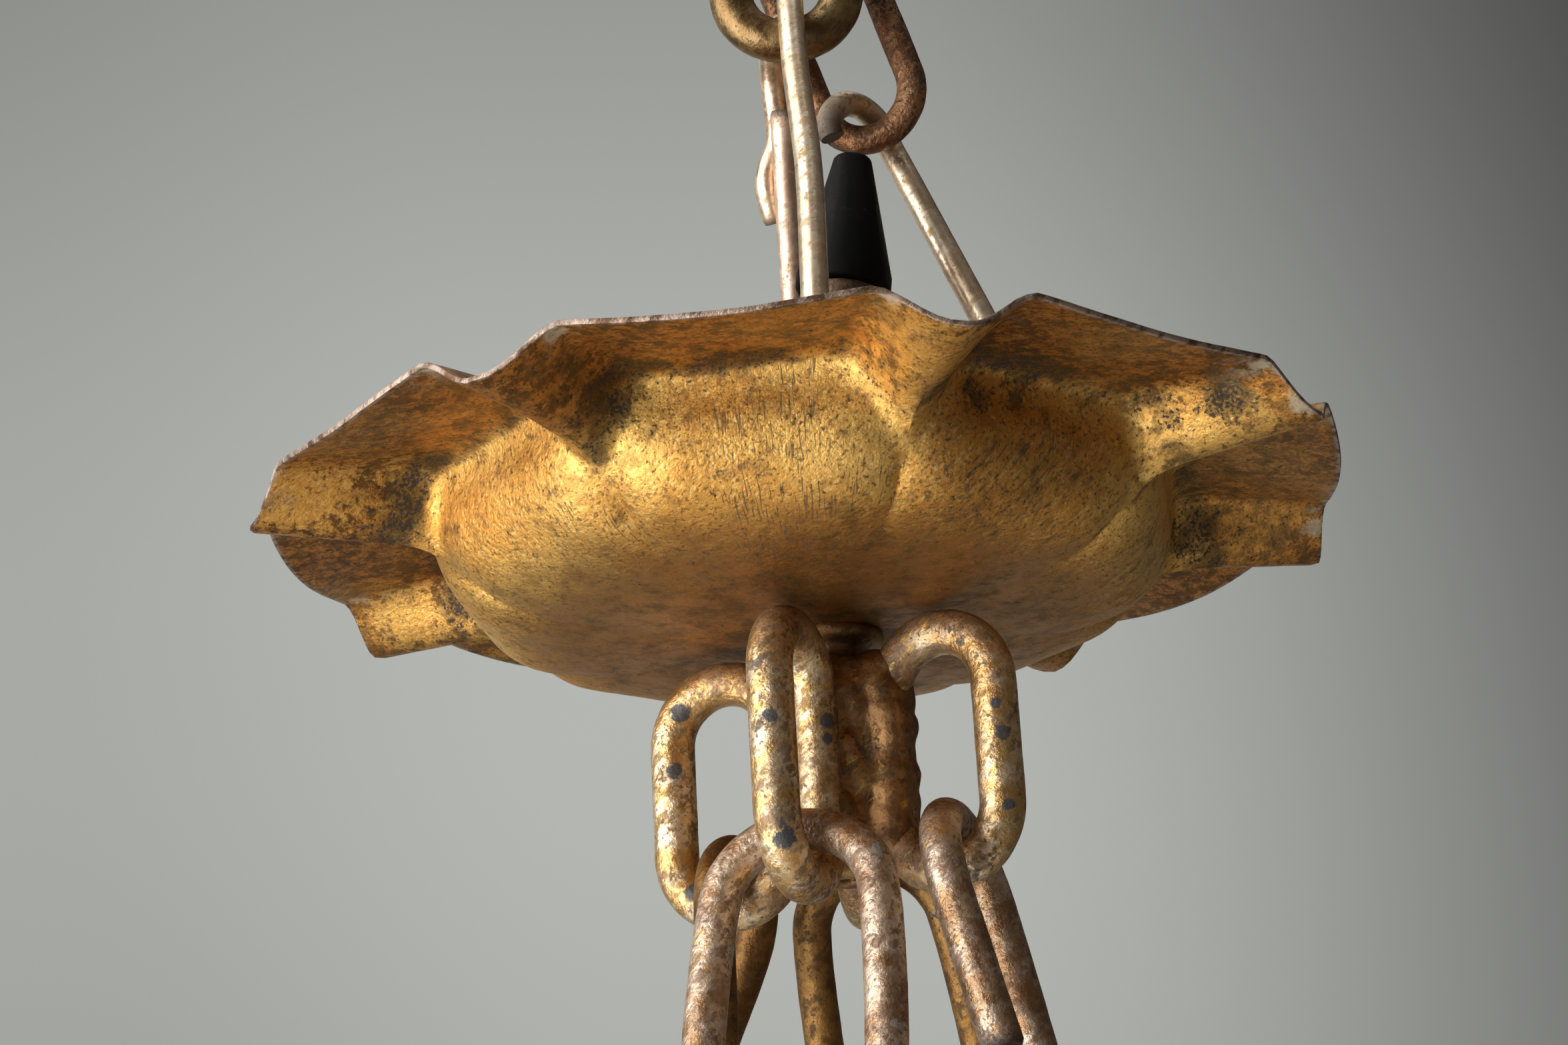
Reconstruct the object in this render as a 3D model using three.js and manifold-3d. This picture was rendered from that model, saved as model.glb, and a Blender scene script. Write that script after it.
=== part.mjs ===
// Crown of a gilt wrought-iron chandelier, in millimetres, +Z up.
// The origin is the seat of the ceiling hook, inside the top of the suspension ring.
// The crown is modelled about the middle of its beaten dish, level with the eight pinches
// of the rim, and then moved to that seat.
import * as THREE from 'three';
import { mergeVertices } from 'three/addons/utils/BufferGeometryUtils.js';
import Module from 'manifold-3d';

const wasm = await Module();
wasm.setup();

// Driving dimensions
const touch = 0.35; // gap kept between pieces that bear on each other
const lobeCount = 8; // lobes beaten into the dish
const firstPinch = -30; // degrees from the front, the azimuth of the first pinch

// Dish of sheet iron
const pinchRadius = 70; // reach of the rim at a pinch
const cornerRadius = 68.3; // reach of the rim at a lobe's corners
const cornerAngle = 7.4; // degrees between a pinch and the next corner
const cornerHeight = 4.4; // height of the lobes' edge over the pinches
const dishDepth = 12.5; // depth of the bowl's underside below the pinches
const bowlRadius = 45.3;
const wallSpread = 0.6; // share of a half lobe over which a pinch opens into the wall // radius of the bowl's wall at a lobe
const sheet = 1.1; // thickness of the beaten sheet
const floorRadius = 13; // flat middle of the bowl
const rimDroop = 1.6; // sag of the rim between a lobe's corners
const rimBow = 0.7; // 0 for lobes cut straight across, 1 for a round rim
const hubShift = 2.4; // the middle hole is a little off the dish's centre

// Stem with its collar and threaded end
const stemRadius = 4.4;
const stemBore = 1.6;
const collarRadius = 6.6;
const collarThick = 2;
const studRadius = 3.6;
const stemDrop = 30; // length of the stem below the collar
const nutAcross = 14;
const nutThick = 5;

// Eyes brazed round the stem
const eyeAzimuths = { front: -20, right: 57, back: 171, left: -112 }; // degrees
const eyeLengths = { front: 36.6, right: 35.4, back: 34.4, left: 34.8 };
const eyeDrops = { front: 0.8, right: 0.4, back: 0.2, left: 1.2 }; // below the dish
const eyeWire = 5.7;
const eyeWidth = 20.8;

// Open chain links that hang from the eyes
const linkWire = 5.3;
const linkWidth = 25; // at its two bends
const linkBow = 0.9; // outward bow of each limb
const linkLength = 68;
const linkSplay = { front: 15.8, right: 12.5, back: 17.3, left: 7.6 }; // degrees outwards
const linkLean = { front: 1.9, right: 0, back: -4, left: 9 }; // degrees sideways at its foot
const linkTurn = { front: 4, right: 14, back: -17, left: -2.3 }; // degrees about its own length
const linkCurl = { front: 0, right: 0, back: 0, left: 69 }; // twist from its head to its foot
const linkSlip = { front: 0, right: 0, back: -0.5, left: -3.3 }; // sideways in its eye
const seamGap = 0.9; // open butt joint in one limb
const seamSlip = 1.2; // sideways slip of the two cut ends

// Bent straps inside the dish
const strapWidth = 12;
const strapThick = 3;
const strapReach = 33.8; // radius of the holes at the straps' ends
const earHeight = 1; // height of the middle of an ear over the pinches
const earLength = 12;
const earTilt = 23; // degrees, square to the rods
const strapFlat = 14; // straps lie flat on the bowl's floor out to this radius

// Hanger rods
const rodWire = 3.6;
const rodSlack = 1.3; // clearance of a rod in its hole
const headRadius = 4;
const headThick = 2.2;
const backRodTop = [0.1, 7.05, 65];
const backRodBow = [[20, -1], [45, -0.7]]; // its height, and how far it is out of straight
// Bail's back limb, beside the back rod: its height, then how far to the right and behind
const bailLap = [
  [74, -0.3, -1.6],
  [70, -0.9, 3.3],
  [63, -0.9, 4.8],
  [59.5, -2.4, 4.2],
  [56.5, -3, 3.4],
  [52.5, -2.2, 3.9],
];
const bailBow = 1.7; // the bail's front limb out of straight, to the right
const bailAside = 0.4; // its hook to the right of the middle of the top link

// Links and ring over the crown
const topLinkWire = 6;
const topLinkWidth = 21;
const topLinkLength = 36;
const topLinkFoot = [1.5, -2.5, 70.3]; // middle of the wire that the bail hangs on
const topLinkLean = 1.2; // degrees forwards at its foot
const sideLinkWire = 4.2;
const sideLinkWidth = 17.4;
const sideLinkTwist = 22; // degrees about its own length, from its head to its foot
const sideLinkFoot = [13.5, 6.8, 60.2]; // middle of the side link's lowest wire
const sideLinkSlip = -0.35; // the side link's head to the right of the ring's wire
const sideLinkRise = 1.2; // and its gap over the ring, which curves up behind the top link
const sideHookRadius = 6.4;
const sideHookRise = 0.5; // slack over the link's foot
const sideHookReturn = 1.6;
const sideHookPlane = [0.68, 0.733, 0]; // from its middle towards its shaft
const sideHookMiddle = [-3.1, 0.3]; // right and back of the middle of the side link's foot
const ringWire = 5;
const ringGap = 0.6; // between the ring and the top link, which swings on it
const ringRadius = 15.5;

// Wiring tube and its cap
const tubeRadius = 5.6;
const tubeWall = 1;
const tubeLean = 7.2; // degrees to the right
const tubeLength = 32.9;
const capFoot = 6.3;
const capTop = 2.5;
const capLength = 19.6;
const wireBore = 1.4;

const rad = THREE.MathUtils.degToRad;
const lerp = THREE.MathUtils.lerp;
const clamp = THREE.MathUtils.clamp;
const up = new THREE.Vector3(0, 0, 1);
const vec = (x, y, z) => new THREE.Vector3(x, y, z);

const crown = new THREE.Group();

function metal(color, roughness = 0.45, metalness = 0.8) {
  return new THREE.MeshStandardMaterial({ color, roughness, metalness });
}

const dishGilt = metal(0x9a6b2c);
const eyeGilt = metal(0xb98a45);
const rustGilt = metal(0x8f7060, 0.55);
const paleGilt = metal(0xd9c08a, 0.35);
const darkIron = metal(0x4a3524, 0.6);
const blackCap = metal(0x15161a, 0.7, 0);

function add(name, geometry, material, parent = crown) {
  const mesh = new THREE.Mesh(geometry, material);
  mesh.name = name;
  parent.add(mesh);
  return mesh;
}

// Point at an azimuth counted from the front (-Y) towards the right (+X)
function around(azimuth, radius, z) {
  const a = rad(azimuth);
  return new THREE.Vector3(radius * Math.sin(a), -radius * Math.cos(a), z);
}

// Booleans
function solid(geometry) {
  const plain = new THREE.BufferGeometry();
  plain.setAttribute('position', geometry.getAttribute('position').clone());
  if (geometry.index) plain.setIndex(geometry.index.clone());
  const merged = mergeVertices(plain, 1e-4);
  return new wasm.Manifold(new wasm.Mesh({
    numProp: 3,
    vertProperties: new Float32Array(merged.getAttribute('position').array),
    triVerts: new Uint32Array(merged.index.array),
  }));
}

function fromSolid(body) {
  const mesh = body.getMesh();
  const geometry = new THREE.BufferGeometry();
  geometry.setAttribute('position', new THREE.BufferAttribute(mesh.vertProperties, 3));
  geometry.setIndex(new THREE.BufferAttribute(mesh.triVerts, 1));
  return geometry;
}

// Round section of a wire
function wireShape(radius, sides = 8) {
  const shape = new THREE.Shape();
  for (let i = 0; i < sides; i += 1) {
    const a = (i / sides) * 2 * Math.PI;
    if (i === 0) shape.moveTo(radius * Math.cos(a), radius * Math.sin(a));
    else shape.lineTo(radius * Math.cos(a), radius * Math.sin(a));
  }
  shape.closePath();
  return shape;
}

function openWire(points, radius, steps) {
  const extrudePath = new THREE.CatmullRomCurve3(points, false, 'centripetal');
  return new THREE.ExtrudeGeometry(wireShape(radius), { extrudePath, steps, curveSegments: 1 });
}

// Oval of two half circles and two limbs, in the XZ plane about its own middle
class OvalPath extends THREE.Curve {
  constructor(width, length) {
    super();
    this.bend = width / 2;
    this.limb = length - width;
    this.total = 2 * this.limb + 2 * Math.PI * this.bend;
  }

  getPoint(t, target = new THREE.Vector3()) {
    const arc = Math.PI * this.bend;
    let d = (((t % 1) + 1) % 1) * this.total;
    if (d < this.limb) return target.set(this.bend, 0, d - this.limb / 2);
    d -= this.limb;
    if (d < arc) {
      const a = d / this.bend;
      return target.set(this.bend * Math.cos(a), 0, this.limb / 2 + this.bend * Math.sin(a));
    }
    d -= arc;
    if (d < this.limb) return target.set(-this.bend, 0, this.limb / 2 - d);
    const a = (d - this.limb) / this.bend;
    return target.set(-this.bend * Math.cos(a), 0, -this.limb / 2 - this.bend * Math.sin(a));
  }
}

// Closed loop of wire: the tube meets itself, so it has no ends
function closedOval(outerWidth, outerLength, wire, steps = 26) {
  const path = new OvalPath(outerWidth - wire, outerLength - wire);
  const loop = new THREE.TubeGeometry(path, steps, wire / 2, 8, true);
  return fromSolid(solid(loop));
}

// Dish: two sections, one down the middle of a lobe and one down a pinch,
// are blended round the bowl. Each row is [radius, height].
const lobeSection = [
  [floorRadius, -dishDepth],
  [22, -dishDepth + 0.1],
  [32, -dishDepth + 1.0],
  [39, -dishDepth + 3.0],
  [bowlRadius - 2.3, -6.0],
  [bowlRadius - 0.5, -1.8],
  [bowlRadius, 2.4],
  [bowlRadius + 1.2, 5.0],
  [bowlRadius + 4.5, 5.8],
  [bowlRadius + 11, 5.5],
  [null, cornerHeight],
];
const pinchSection = [
  [floorRadius, -dishDepth],
  [22, -dishDepth + 0.25],
  [31.6, -dishDepth + 1.2],
  [38, -dishDepth + 3.2],
  [42.2, -6.4],
  [44.5, -4.8],
  [47, -3.1],
  [50, -2.0],
  [55, -1.4],
  [61, -1.0],
  [pinchRadius, -0.4],
];
const wallRow = 4; // the blend changes from the bowl's to the flange's over these rows
const flangeRow = 8;

// Reach of the rim: straight between a lobe's corners, drawn out to a point at the pinch
function rimRadius(fromPinch) {
  const half = 180 / lobeCount;
  if (fromPinch < cornerAngle) {
    const t = Math.sin((fromPinch / cornerAngle) * Math.PI / 2);
    return lerp(pinchRadius, cornerRadius, t);
  }
  const chord = cornerRadius * Math.cos(rad(half - cornerAngle)) / Math.cos(rad(half - fromPinch));
  return lerp(chord, cornerRadius, rimBow);
}

function dishPoint(row, azimuth) {
  const pitch = 360 / lobeCount;
  const turn = (((azimuth - firstPinch) % pitch) + pitch) % pitch;
  const fromPinch = Math.min(turn, pitch - turn);
  const opened = Math.min(fromPinch / (wallSpread * pitch / 2), 1);
  const bowlBlend = opened * (2 - opened);
  const foldBlend = 0.5 - 0.5 * Math.cos(Math.min(fromPinch / (cornerAngle + 1), 1) * Math.PI);
  const share = clamp((row - wallRow) / (flangeRow - wallRow), 0, 1);
  const blend = lerp(bowlBlend, foldBlend, share);
  const low = Math.min(Math.floor(row), lobeSection.length - 2);
  const part = row - low;
  const read = (section, column, index) => {
    const i = clamp(index, 0, section.length - 1);
    return section[i][column] ?? rimRadius(fromPinch);
  };
  const value = (section, column) => {
    const [p0, p1, p2, p3] = [-1, 0, 1, 2].map((k) => read(section, column, low + k));
    const bend = 2 * p0 - 5 * p1 + 4 * p2 - p3;
    const twist = -p0 + 3 * p1 - 3 * p2 + p3;
    return p1 + 0.5 * part * (p2 - p0 + part * (bend + part * twist));
  };
  // The wall of a lobe is a flat panel between two pinches
  const panel = 1 / Math.cos(rad(pitch / 2 - fromPinch)) - 1;
  const flat = clamp(row - 2, 0, 1) * clamp(flangeRow + 1 - row, 0, 1);
  const lobeRadius = value(lobeSection, 0) * (1 + panel * flat);
  const radius = row === lobeSection.length - 1
    ? rimRadius(fromPinch)
    : lerp(value(pinchSection, 0), lobeRadius, blend);
  const height = lerp(value(pinchSection, 1), value(lobeSection, 1), blend);
  const alongEdge = clamp((fromPinch - cornerAngle) / (pitch / 2 - cornerAngle), 0, 1);
  const outer = clamp((row - flangeRow) / (lobeSection.length - 1 - flangeRow), 0, 1);
  return around(azimuth, radius, height - rimDroop * outer * Math.sin(alongEdge * Math.PI / 2));
}

function makeDish() {
  const rows = [0, 1, 2, 3, 4, 4.7, 5.5, 6.5, 7.1, 8, 9, 10];
  const steps = [0, 1.8, 3.7, 5.6, 7.6, 11.5, 16.5];
  const pitch = 360 / lobeCount;
  const azimuths = [];
  for (let lobe = 0; lobe < lobeCount; lobe += 1) {
    const start = firstPinch + lobe * pitch;
    for (const s of steps) azimuths.push(start + s);
    azimuths.push(start + pitch / 2);
    for (const s of steps.slice(1).reverse()) azimuths.push(start + pitch - s);
  }
  const n = azimuths.length;
  const hole = azimuths.map((a) => around(a, studRadius + touch, -dishDepth)
    .add(new THREE.Vector3(hubShift, 0, 0)));
  const under = [hole, ...rows.map((row) => azimuths.map((a) => dishPoint(row, a)))];
  const inside = under.map((ring, r) => ring.map((p, i) => {
    if (r < 2) return p.clone().setZ(p.z + sheet);
    const next = ring[(i + 1) % n];
    const last = ring[(i + n - 1) % n];
    const out = under[Math.min(r + 1, under.length - 1)][i];
    const inner = under[r - 1][i];
    const normal = new THREE.Vector3().subVectors(out, inner)
      .cross(new THREE.Vector3().subVectors(next, last)).normalize();
    return p.clone().addScaledVector(normal, sheet);
  }));
  const rings = [...under, ...inside.reverse()];
  const positions = rings.flat().flatMap((p) => [p.x, p.y, p.z]);
  const index = [];
  for (let r = 0; r < rings.length; r += 1) {
    const s = (r + 1) % rings.length;
    for (let i = 0; i < n; i += 1) {
      const j = (i + 1) % n;
      const [a, b, c, d] = [r * n + i, r * n + j, s * n + j, s * n + i];
      index.push(a, b, c, a, c, d);
    }
  }
  const geometry = new THREE.BufferGeometry();
  geometry.setAttribute('position', new THREE.Float32BufferAttribute(positions, 3));
  geometry.setIndex(index);
  return geometry;
}

// Heights that the pieces of the hub share
const floorTop = -dishDepth + sheet;
const collarTop = -dishDepth - touch;
const collarFoot = collarTop - collarThick;
const eyeTop = -dishDepth - touch;
const strapLow = floorTop + touch;
const secondStrapLow = strapLow + strapThick + touch;
const nutLow = secondStrapLow + strapThick + touch;
const studTop = nutLow + nutThick + 3;
const stemFoot = collarFoot - stemDrop;

function lathe(profile, sides = 24) {
  const points = profile.map(([r, z]) => new THREE.Vector2(r, z));
  const geometry = new THREE.LatheGeometry([...points, points[0]], sides);
  geometry.rotateX(Math.PI / 2);
  return geometry;
}

function makeStem() {
  return fromSolid(solid(lathe([
    [stemBore, stemFoot],
    [stemRadius - 0.8, stemFoot],
    [stemRadius, stemFoot + 1.2],
    [stemRadius, collarFoot - 1],
    [collarRadius - 0.6, collarFoot],
    [collarRadius, collarFoot + 0.7],
    [collarRadius, collarTop],
    [studRadius, collarTop],
    [studRadius, studTop],
    [stemBore, studTop],
  ])));
}

function makeNut() {
  const shape = new THREE.Shape();
  for (let i = 0; i < 4; i += 1) {
    const a = Math.PI / 4 + (i * Math.PI) / 2;
    const x = (nutAcross / Math.SQRT2) * Math.cos(a);
    const y = (nutAcross / Math.SQRT2) * Math.sin(a);
    if (i === 0) shape.moveTo(x, y);
    else shape.lineTo(x, y);
  }
  shape.closePath();
  shape.holes.push(new THREE.Path().absarc(0, 0, studRadius + touch, 0, 2 * Math.PI, true));
  const options = { depth: nutThick, bevelEnabled: false, curveSegments: 12 };
  return new THREE.ExtrudeGeometry(shape, options);
}

// A strap is a flat bar bent up at both ends into ears that stand square to the rods
function strapSection() {
  const half = earLength / 2;
  const run = half * Math.cos(rad(earTilt));
  const rise = half * Math.sin(rad(earTilt));
  const lower = [
    [0, strapLow],
    [strapFlat, strapLow],
    [strapReach - run, earHeight - rise],
    [strapReach + run, earHeight + rise],
  ];
  const slopes = lower.slice(1).map(([x, z], i) => Math.atan2(z - lower[i][1], x - lower[i][0]));
  const upper = lower.map(([x, z], i) => {
    const before = slopes[Math.max(i - 1, 0)];
    const after = slopes[Math.min(i, slopes.length - 1)];
    const mid = (before + after) / 2;
    const thick = strapThick / Math.cos((after - before) / 2);
    return [x - thick * Math.sin(mid), z + thick * Math.cos(mid)];
  });
  const right = [...lower.slice(1), ...upper.slice(1).reverse()];
  const left = right.map(([x, z]) => [-x, z]).reverse();
  const shape = new THREE.Shape();
  [...right, ...left].forEach(([x, z], i) => (i === 0 ? shape.moveTo(x, z) : shape.lineTo(x, z)));
  shape.closePath();
  return shape;
}

function drill(radius, length, position, tilt) {
  const cutter = new THREE.CylinderGeometry(radius, radius, length, 16);
  cutter.rotateX(Math.PI / 2).rotateY(tilt);
  cutter.translate(position.x, position.y, position.z);
  return solid(cutter);
}

// The second strap crosses the first on top of it, so it is bent up a little less
function makeStrap(lift) {
  const options = { depth: strapWidth, bevelEnabled: false };
  const bar = new THREE.ExtrudeGeometry(strapSection(), options);
  bar.translate(0, 0, -strapWidth / 2).rotateX(Math.PI / 2);
  const position = bar.getAttribute('position');
  for (let i = 0; i < position.count; i += 1) {
    const inner = 1 - clamp((Math.abs(position.getX(i)) - strapFlat - 1) / 3, 0, 1);
    position.setZ(i, position.getZ(i) + lift * inner);
  }
  const holeRadius = rodWire / 2 + rodSlack;
  let body = solid(bar).subtract(drill(studRadius + touch, 40, vec(0, 0, strapLow), 0));
  for (const side of [1, -1]) {
    const middle = vec(side * strapReach, 0, earHeight);
    body = body.subtract(drill(holeRadius, 12, middle, -side * rad(earTilt)));
  }
  return fromSolid(body);
}

const hub = new THREE.Group();
hub.position.set(hubShift, 0, 0);
crown.add(hub);
add('lobed_dish', makeDish(), dishGilt);
add('center_stem', makeStem(), darkIron, hub);
add('strap_left_right', makeStrap(0), darkIron, hub);
add('strap_front_back', makeStrap(strapThick + touch), darkIron, hub).rotation.z = Math.PI / 2;
add('stem_nut', makeNut(), darkIron, hub).position.z = nutLow;

// An open link: its wire starts and ends at a butt joint half way down one limb
function openLinkPath(curl) {
  const bend = (linkWidth - linkWire) / 2;
  const limb = (linkLength - linkWidth) / 2;
  const bowed = (t) => bend + linkBow * (1 - t * t);
  const points = [vec(bowed(0), seamSlip, -seamGap / 2)];
  for (const t of [0.3, 0.65]) points.push(vec(bowed(t), seamSlip * (1 - t), t * limb));
  for (let i = 0; i <= 8; i += 1) {
    const a = (i / 8) * Math.PI;
    points.push(vec(bend * Math.cos(a), 0, limb + bend * Math.sin(a)));
  }
  for (const t of [0.4, -0.4]) points.push(vec(-bowed(t), 0, t * limb));
  for (let i = 0; i <= 8; i += 1) {
    const a = Math.PI + (i / 8) * Math.PI;
    points.push(vec(bend * Math.cos(a), 0, -limb + bend * Math.sin(a)));
  }
  for (const t of [0.65, 0.3]) {
    points.push(vec(bowed(t) - seamSlip * (1 - t), 0, -t * limb));
  }
  points.push(vec(bowed(0) - seamSlip, -seamSlip / 2, -seamGap * 1.5));
  const head = linkLength / 2;
  return points.map((p) => p.applyAxisAngle(up, rad(curl) * (head - p.z) / linkLength));
}

// Eyes of closed wire, their inner limbs against the stem, and the links that hang in them
const eyeReach = stemRadius + touch + eyeWidth / 2;
const hang = (linkWidth - eyeWire) / 2 - linkWire - touch; // eye's wire over the link's bend
for (const [side, azimuth] of Object.entries(eyeAzimuths)) {
  const eyeLength = eyeLengths[side];
  const eyeMiddle = eyeTop - eyeDrops[side] - eyeLength / 2;
  const spoke = new THREE.Group();
  spoke.rotation.z = rad(azimuth - 90);
  hub.add(spoke);
  const eye = add(`${side}_eye`, closedOval(eyeWidth, eyeLength, eyeWire), eyeGilt, spoke);
  eye.position.set(eyeReach, 0, eyeMiddle);

  // The link's wire rests in the foot of the eye, drawn outwards by its splay
  const splay = rad(linkSplay[side]);
  const seat = (eyeWidth - eyeWire) / 2 - (eyeWire + linkWire) / 2 - touch;
  const eyeFoot = eyeMiddle - (eyeLength - eyeWidth) / 2;
  const pivot = new THREE.Group();
  pivot.position.set(eyeReach + seat * Math.sin(splay), 0, eyeFoot - seat * Math.cos(splay));
  pivot.rotation.set(rad(linkLean[side]), -splay, 0, 'YXZ');
  spoke.add(pivot);
  const wire = openWire(openLinkPath(linkCurl[side]), linkWire / 2, 38);
  const link = add(`${side}_link`, wire, rustGilt, pivot);
  link.rotation.z = rad(linkTurn[side]) - Math.PI / 2;
  const slip = linkSlip[side];
  const rise = hang - Math.sqrt(hang * hang - slip * slip);
  link.position.set(0, slip, rise - (linkLength - linkWire) / 2);
}

// Rods. Each stands in the hole of an ear, with its upset head under it.
const topLinkEnd = vec(...topLinkFoot);
const earPoint = (azimuth) => around(azimuth, strapReach, earHeight).add(hub.position);

function rodFoot(azimuth, next) {
  const ear = earPoint(azimuth);
  const along = next.clone().sub(ear).normalize();
  const square = around(azimuth, -Math.sin(rad(earTilt)), Math.cos(rad(earTilt)));
  const askew = along.clone().cross(square).length();
  const tail = headThick + touch + headRadius * askew;
  return { along, start: ear.clone().addScaledVector(along, -tail) };
}

function withHead(rod, foot) {
  const head = new THREE.CylinderGeometry(headRadius, headRadius * 0.7, headThick, 14);
  head.translate(0, headThick / 2, 0);
  head.applyQuaternion(new THREE.Quaternion().setFromUnitVectors(vec(0, 1, 0), foot.along));
  const end = foot.start;
  head.translate(end.x, end.y, end.z);
  return fromSolid(solid(rod).add(solid(head)));
}

function hookArc(middle, toShaft, radius, from, to, steps = 6) {
  const points = [];
  for (let i = 0; i <= steps; i += 1) {
    const a = rad(lerp(from, to, i / steps));
    points.push(middle.clone().addScaledVector(toShaft, radius * Math.cos(a))
      .addScaledVector(up, radius * Math.sin(a)));
  }
  return points;
}

// The bail rises from the front ear, passes over the foot of the top link and comes down
// behind the back rod, where its end is lapped against the rod's left side.
const bailRadius = (topLinkWire + rodWire) / 2 + touch + 0.2;
const backEar = earPoint(180);
const backRodEnd = vec(...backRodTop);
const onBackRod = (z) => {
  const t = (backRodEnd.z - z) / (backRodEnd.z - backEar.z);
  return backRodEnd.clone().lerp(backEar, t);
};

function makeBail() {
  const hook = topLinkEnd.clone().add(vec(bailAside, 0, 0));
  const arc = hookArc(hook, vec(0, -1, 0), bailRadius, 18, 120);
  const foot = rodFoot(0, arc[0]);
  const ear = earPoint(0);
  const limb = [0.04, 0.3, 0.6, 0.85, 0.96].map((t) => {
    const bow = bailBow * Math.sin(Math.PI * Math.min(t * 1.15, 1));
    return ear.clone().lerp(arc[0], t).add(vec(bow * t, 0, 0));
  });
  const lap = bailLap.map(([z, x, y]) => onBackRod(z).add(vec(x, y, 0)));
  const path = [foot.start, ...limb, ...arc, ...lap];
  return withHead(openWire(path, rodWire / 2, 44), foot);
}

function makeBackRod() {
  const foot = rodFoot(180, backRodEnd);
  const bowed = backRodBow.map(([z, x]) => onBackRod(z).add(vec(x, 0, 0)));
  const path = [foot.start, ...bowed, backRodEnd];
  return withHead(openWire(path, rodWire / 2, 6), foot);
}

function makeSideRod() {
  const aside = vec(...sideHookPlane);
  const seat = (sideLinkWire + rodWire) / 2 + touch + sideHookRise - sideHookRadius;
  const middle = vec(...sideLinkFoot).add(vec(...sideHookMiddle, seat));
  const arc = hookArc(middle, aside, sideHookRadius, 22, 170, 7);
  const tip = arc[arc.length - 1].clone().add(vec(0.4, 0, -sideHookReturn));
  const foot = rodFoot(90, arc[0]);
  const limb = [0.04, 0.3, 0.6, 0.9].map((t) => earPoint(90).lerp(arc[0], t));
  const path = [foot.start, ...limb, ...arc, tip];
  return withHead(openWire(path, rodWire / 2, 36), foot);
}

add('bail_rod', makeBail(), paleGilt);
add('back_rod', makeBackRod(), paleGilt);
add('side_rod', makeSideRod(), paleGilt);

// Top link, side link and suspension ring. The links hang side by side on the ring.
const topLink = new THREE.Group();
topLink.position.copy(topLinkEnd);
topLink.rotation.x = -rad(topLinkLean);
crown.add(topLink);
const topOval = closedOval(topLinkWidth, topLinkLength, topLinkWire);
add('top_link', topOval, eyeGilt, topLink).position.z = (topLinkLength - topLinkWire) / 2;

const ringFoot = vec(
  topLinkEnd.x,
  topLinkEnd.y + (topLinkLength - topLinkWire) * Math.sin(rad(topLinkLean)),
  topLinkEnd.z + topLinkLength - topLinkWire - (topLinkWire + ringWire) / 2 - ringGap,
);
const ringMiddle = vec(ringFoot.x, 1.2, ringFoot.z + ringRadius);
const ring = new THREE.TorusGeometry(ringRadius, ringWire / 2, 8, 32);
ring.rotateY(Math.PI / 2);
add('suspension_ring', ring, eyeGilt).position.copy(ringMiddle);

function makeSideLink() {
  const foot = vec(...sideLinkFoot);
  const head = vec(ringFoot.x, ringFoot.y + (topLinkWire + sideLinkWire) / 2 + touch, ringFoot.z);
  head.add(vec(sideLinkSlip, 0, (sideLinkWire + ringWire) / 2 + sideLinkRise));
  const axis = head.clone().sub(foot);
  const length = axis.length() + sideLinkWire;
  axis.normalize();
  const across = vec(1, 0, 0).addScaledVector(axis, -axis.x).normalize();
  const depth = axis.clone().cross(across);
  const link = closedOval(sideLinkWidth, length, sideLinkWire);
  const position = link.getAttribute('position');
  for (let i = 0; i < position.count; i += 1) {
    const down = clamp(0.5 - position.getZ(i) / length, 0, 1);
    const point = vec().fromBufferAttribute(position, i);
    point.applyAxisAngle(up, -rad(sideLinkTwist) * down);
    position.setXYZ(i, point.x, point.y, point.z);
  }
  link.applyMatrix4(new THREE.Matrix4().makeBasis(across, depth, axis));
  const middle = foot.add(head).multiplyScalar(0.5);
  return link.translate(middle.x, middle.y, middle.z);
}
add('side_link', makeSideLink(), rustGilt);

// Wiring tube, which leans, and the black cap on it
function ringShape(outer, inner, sides = 16) {
  const shape = wireShape(outer, sides);
  shape.holes.push(wireShape(inner, sides));
  return shape;
}

const tubeFoot = nutLow + nutThick + touch;
const lean = vec(Math.sin(rad(tubeLean)), 0, Math.cos(rad(tubeLean)));
const tubeEnd = lean.clone().multiplyScalar(tubeLength).add(vec(0, 0, tubeFoot));
const tubePath = new THREE.LineCurve3(vec(0, 0, tubeFoot - 2), tubeEnd);
const tubeForm = new THREE.ExtrudeGeometry(
  ringShape(tubeRadius, tubeRadius - tubeWall),
  { extrudePath: tubePath, steps: 4, curveSegments: 1 },
);
const floorCut = new THREE.BoxGeometry(40, 40, 10).translate(0, 0, tubeFoot - 5);
add('wiring_tube', fromSolid(solid(tubeForm).subtract(solid(floorCut))), darkIron, hub);

const cap = add('black_cap', fromSolid(solid(lathe([
  [tubeRadius - tubeWall, 0],
  [capFoot, 0],
  [capFoot, 2.4],
  [capTop, capLength],
  [wireBore, capLength],
  [wireBore, capLength * 0.6],
  [tubeRadius - tubeWall, 3],
], 20))), blackCap, hub);
cap.position.copy(tubeEnd).addScaledVector(lean, touch);
cap.rotation.y = rad(tubeLean);

// The seat of the ceiling hook, inside the top of the ring, becomes the origin
const hookSeat = vec(0, 0, ringRadius - ringWire / 2).add(ringMiddle);
crown.position.copy(hookSeat).negate();
const chandelier = new THREE.Group();
chandelier.add(crown);

export default chandelier;
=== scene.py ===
# Looks of the wrought-iron chandelier crown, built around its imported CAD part.
# Shapes are worked out in millimetres about the middle of the dish, and MM and SHIFT bring
# them to metres about the ceiling hook's seat, which is the frame's origin.
import math

import bmesh
import bpy
import numpy as np
from mathutils import Matrix, Vector


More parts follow.
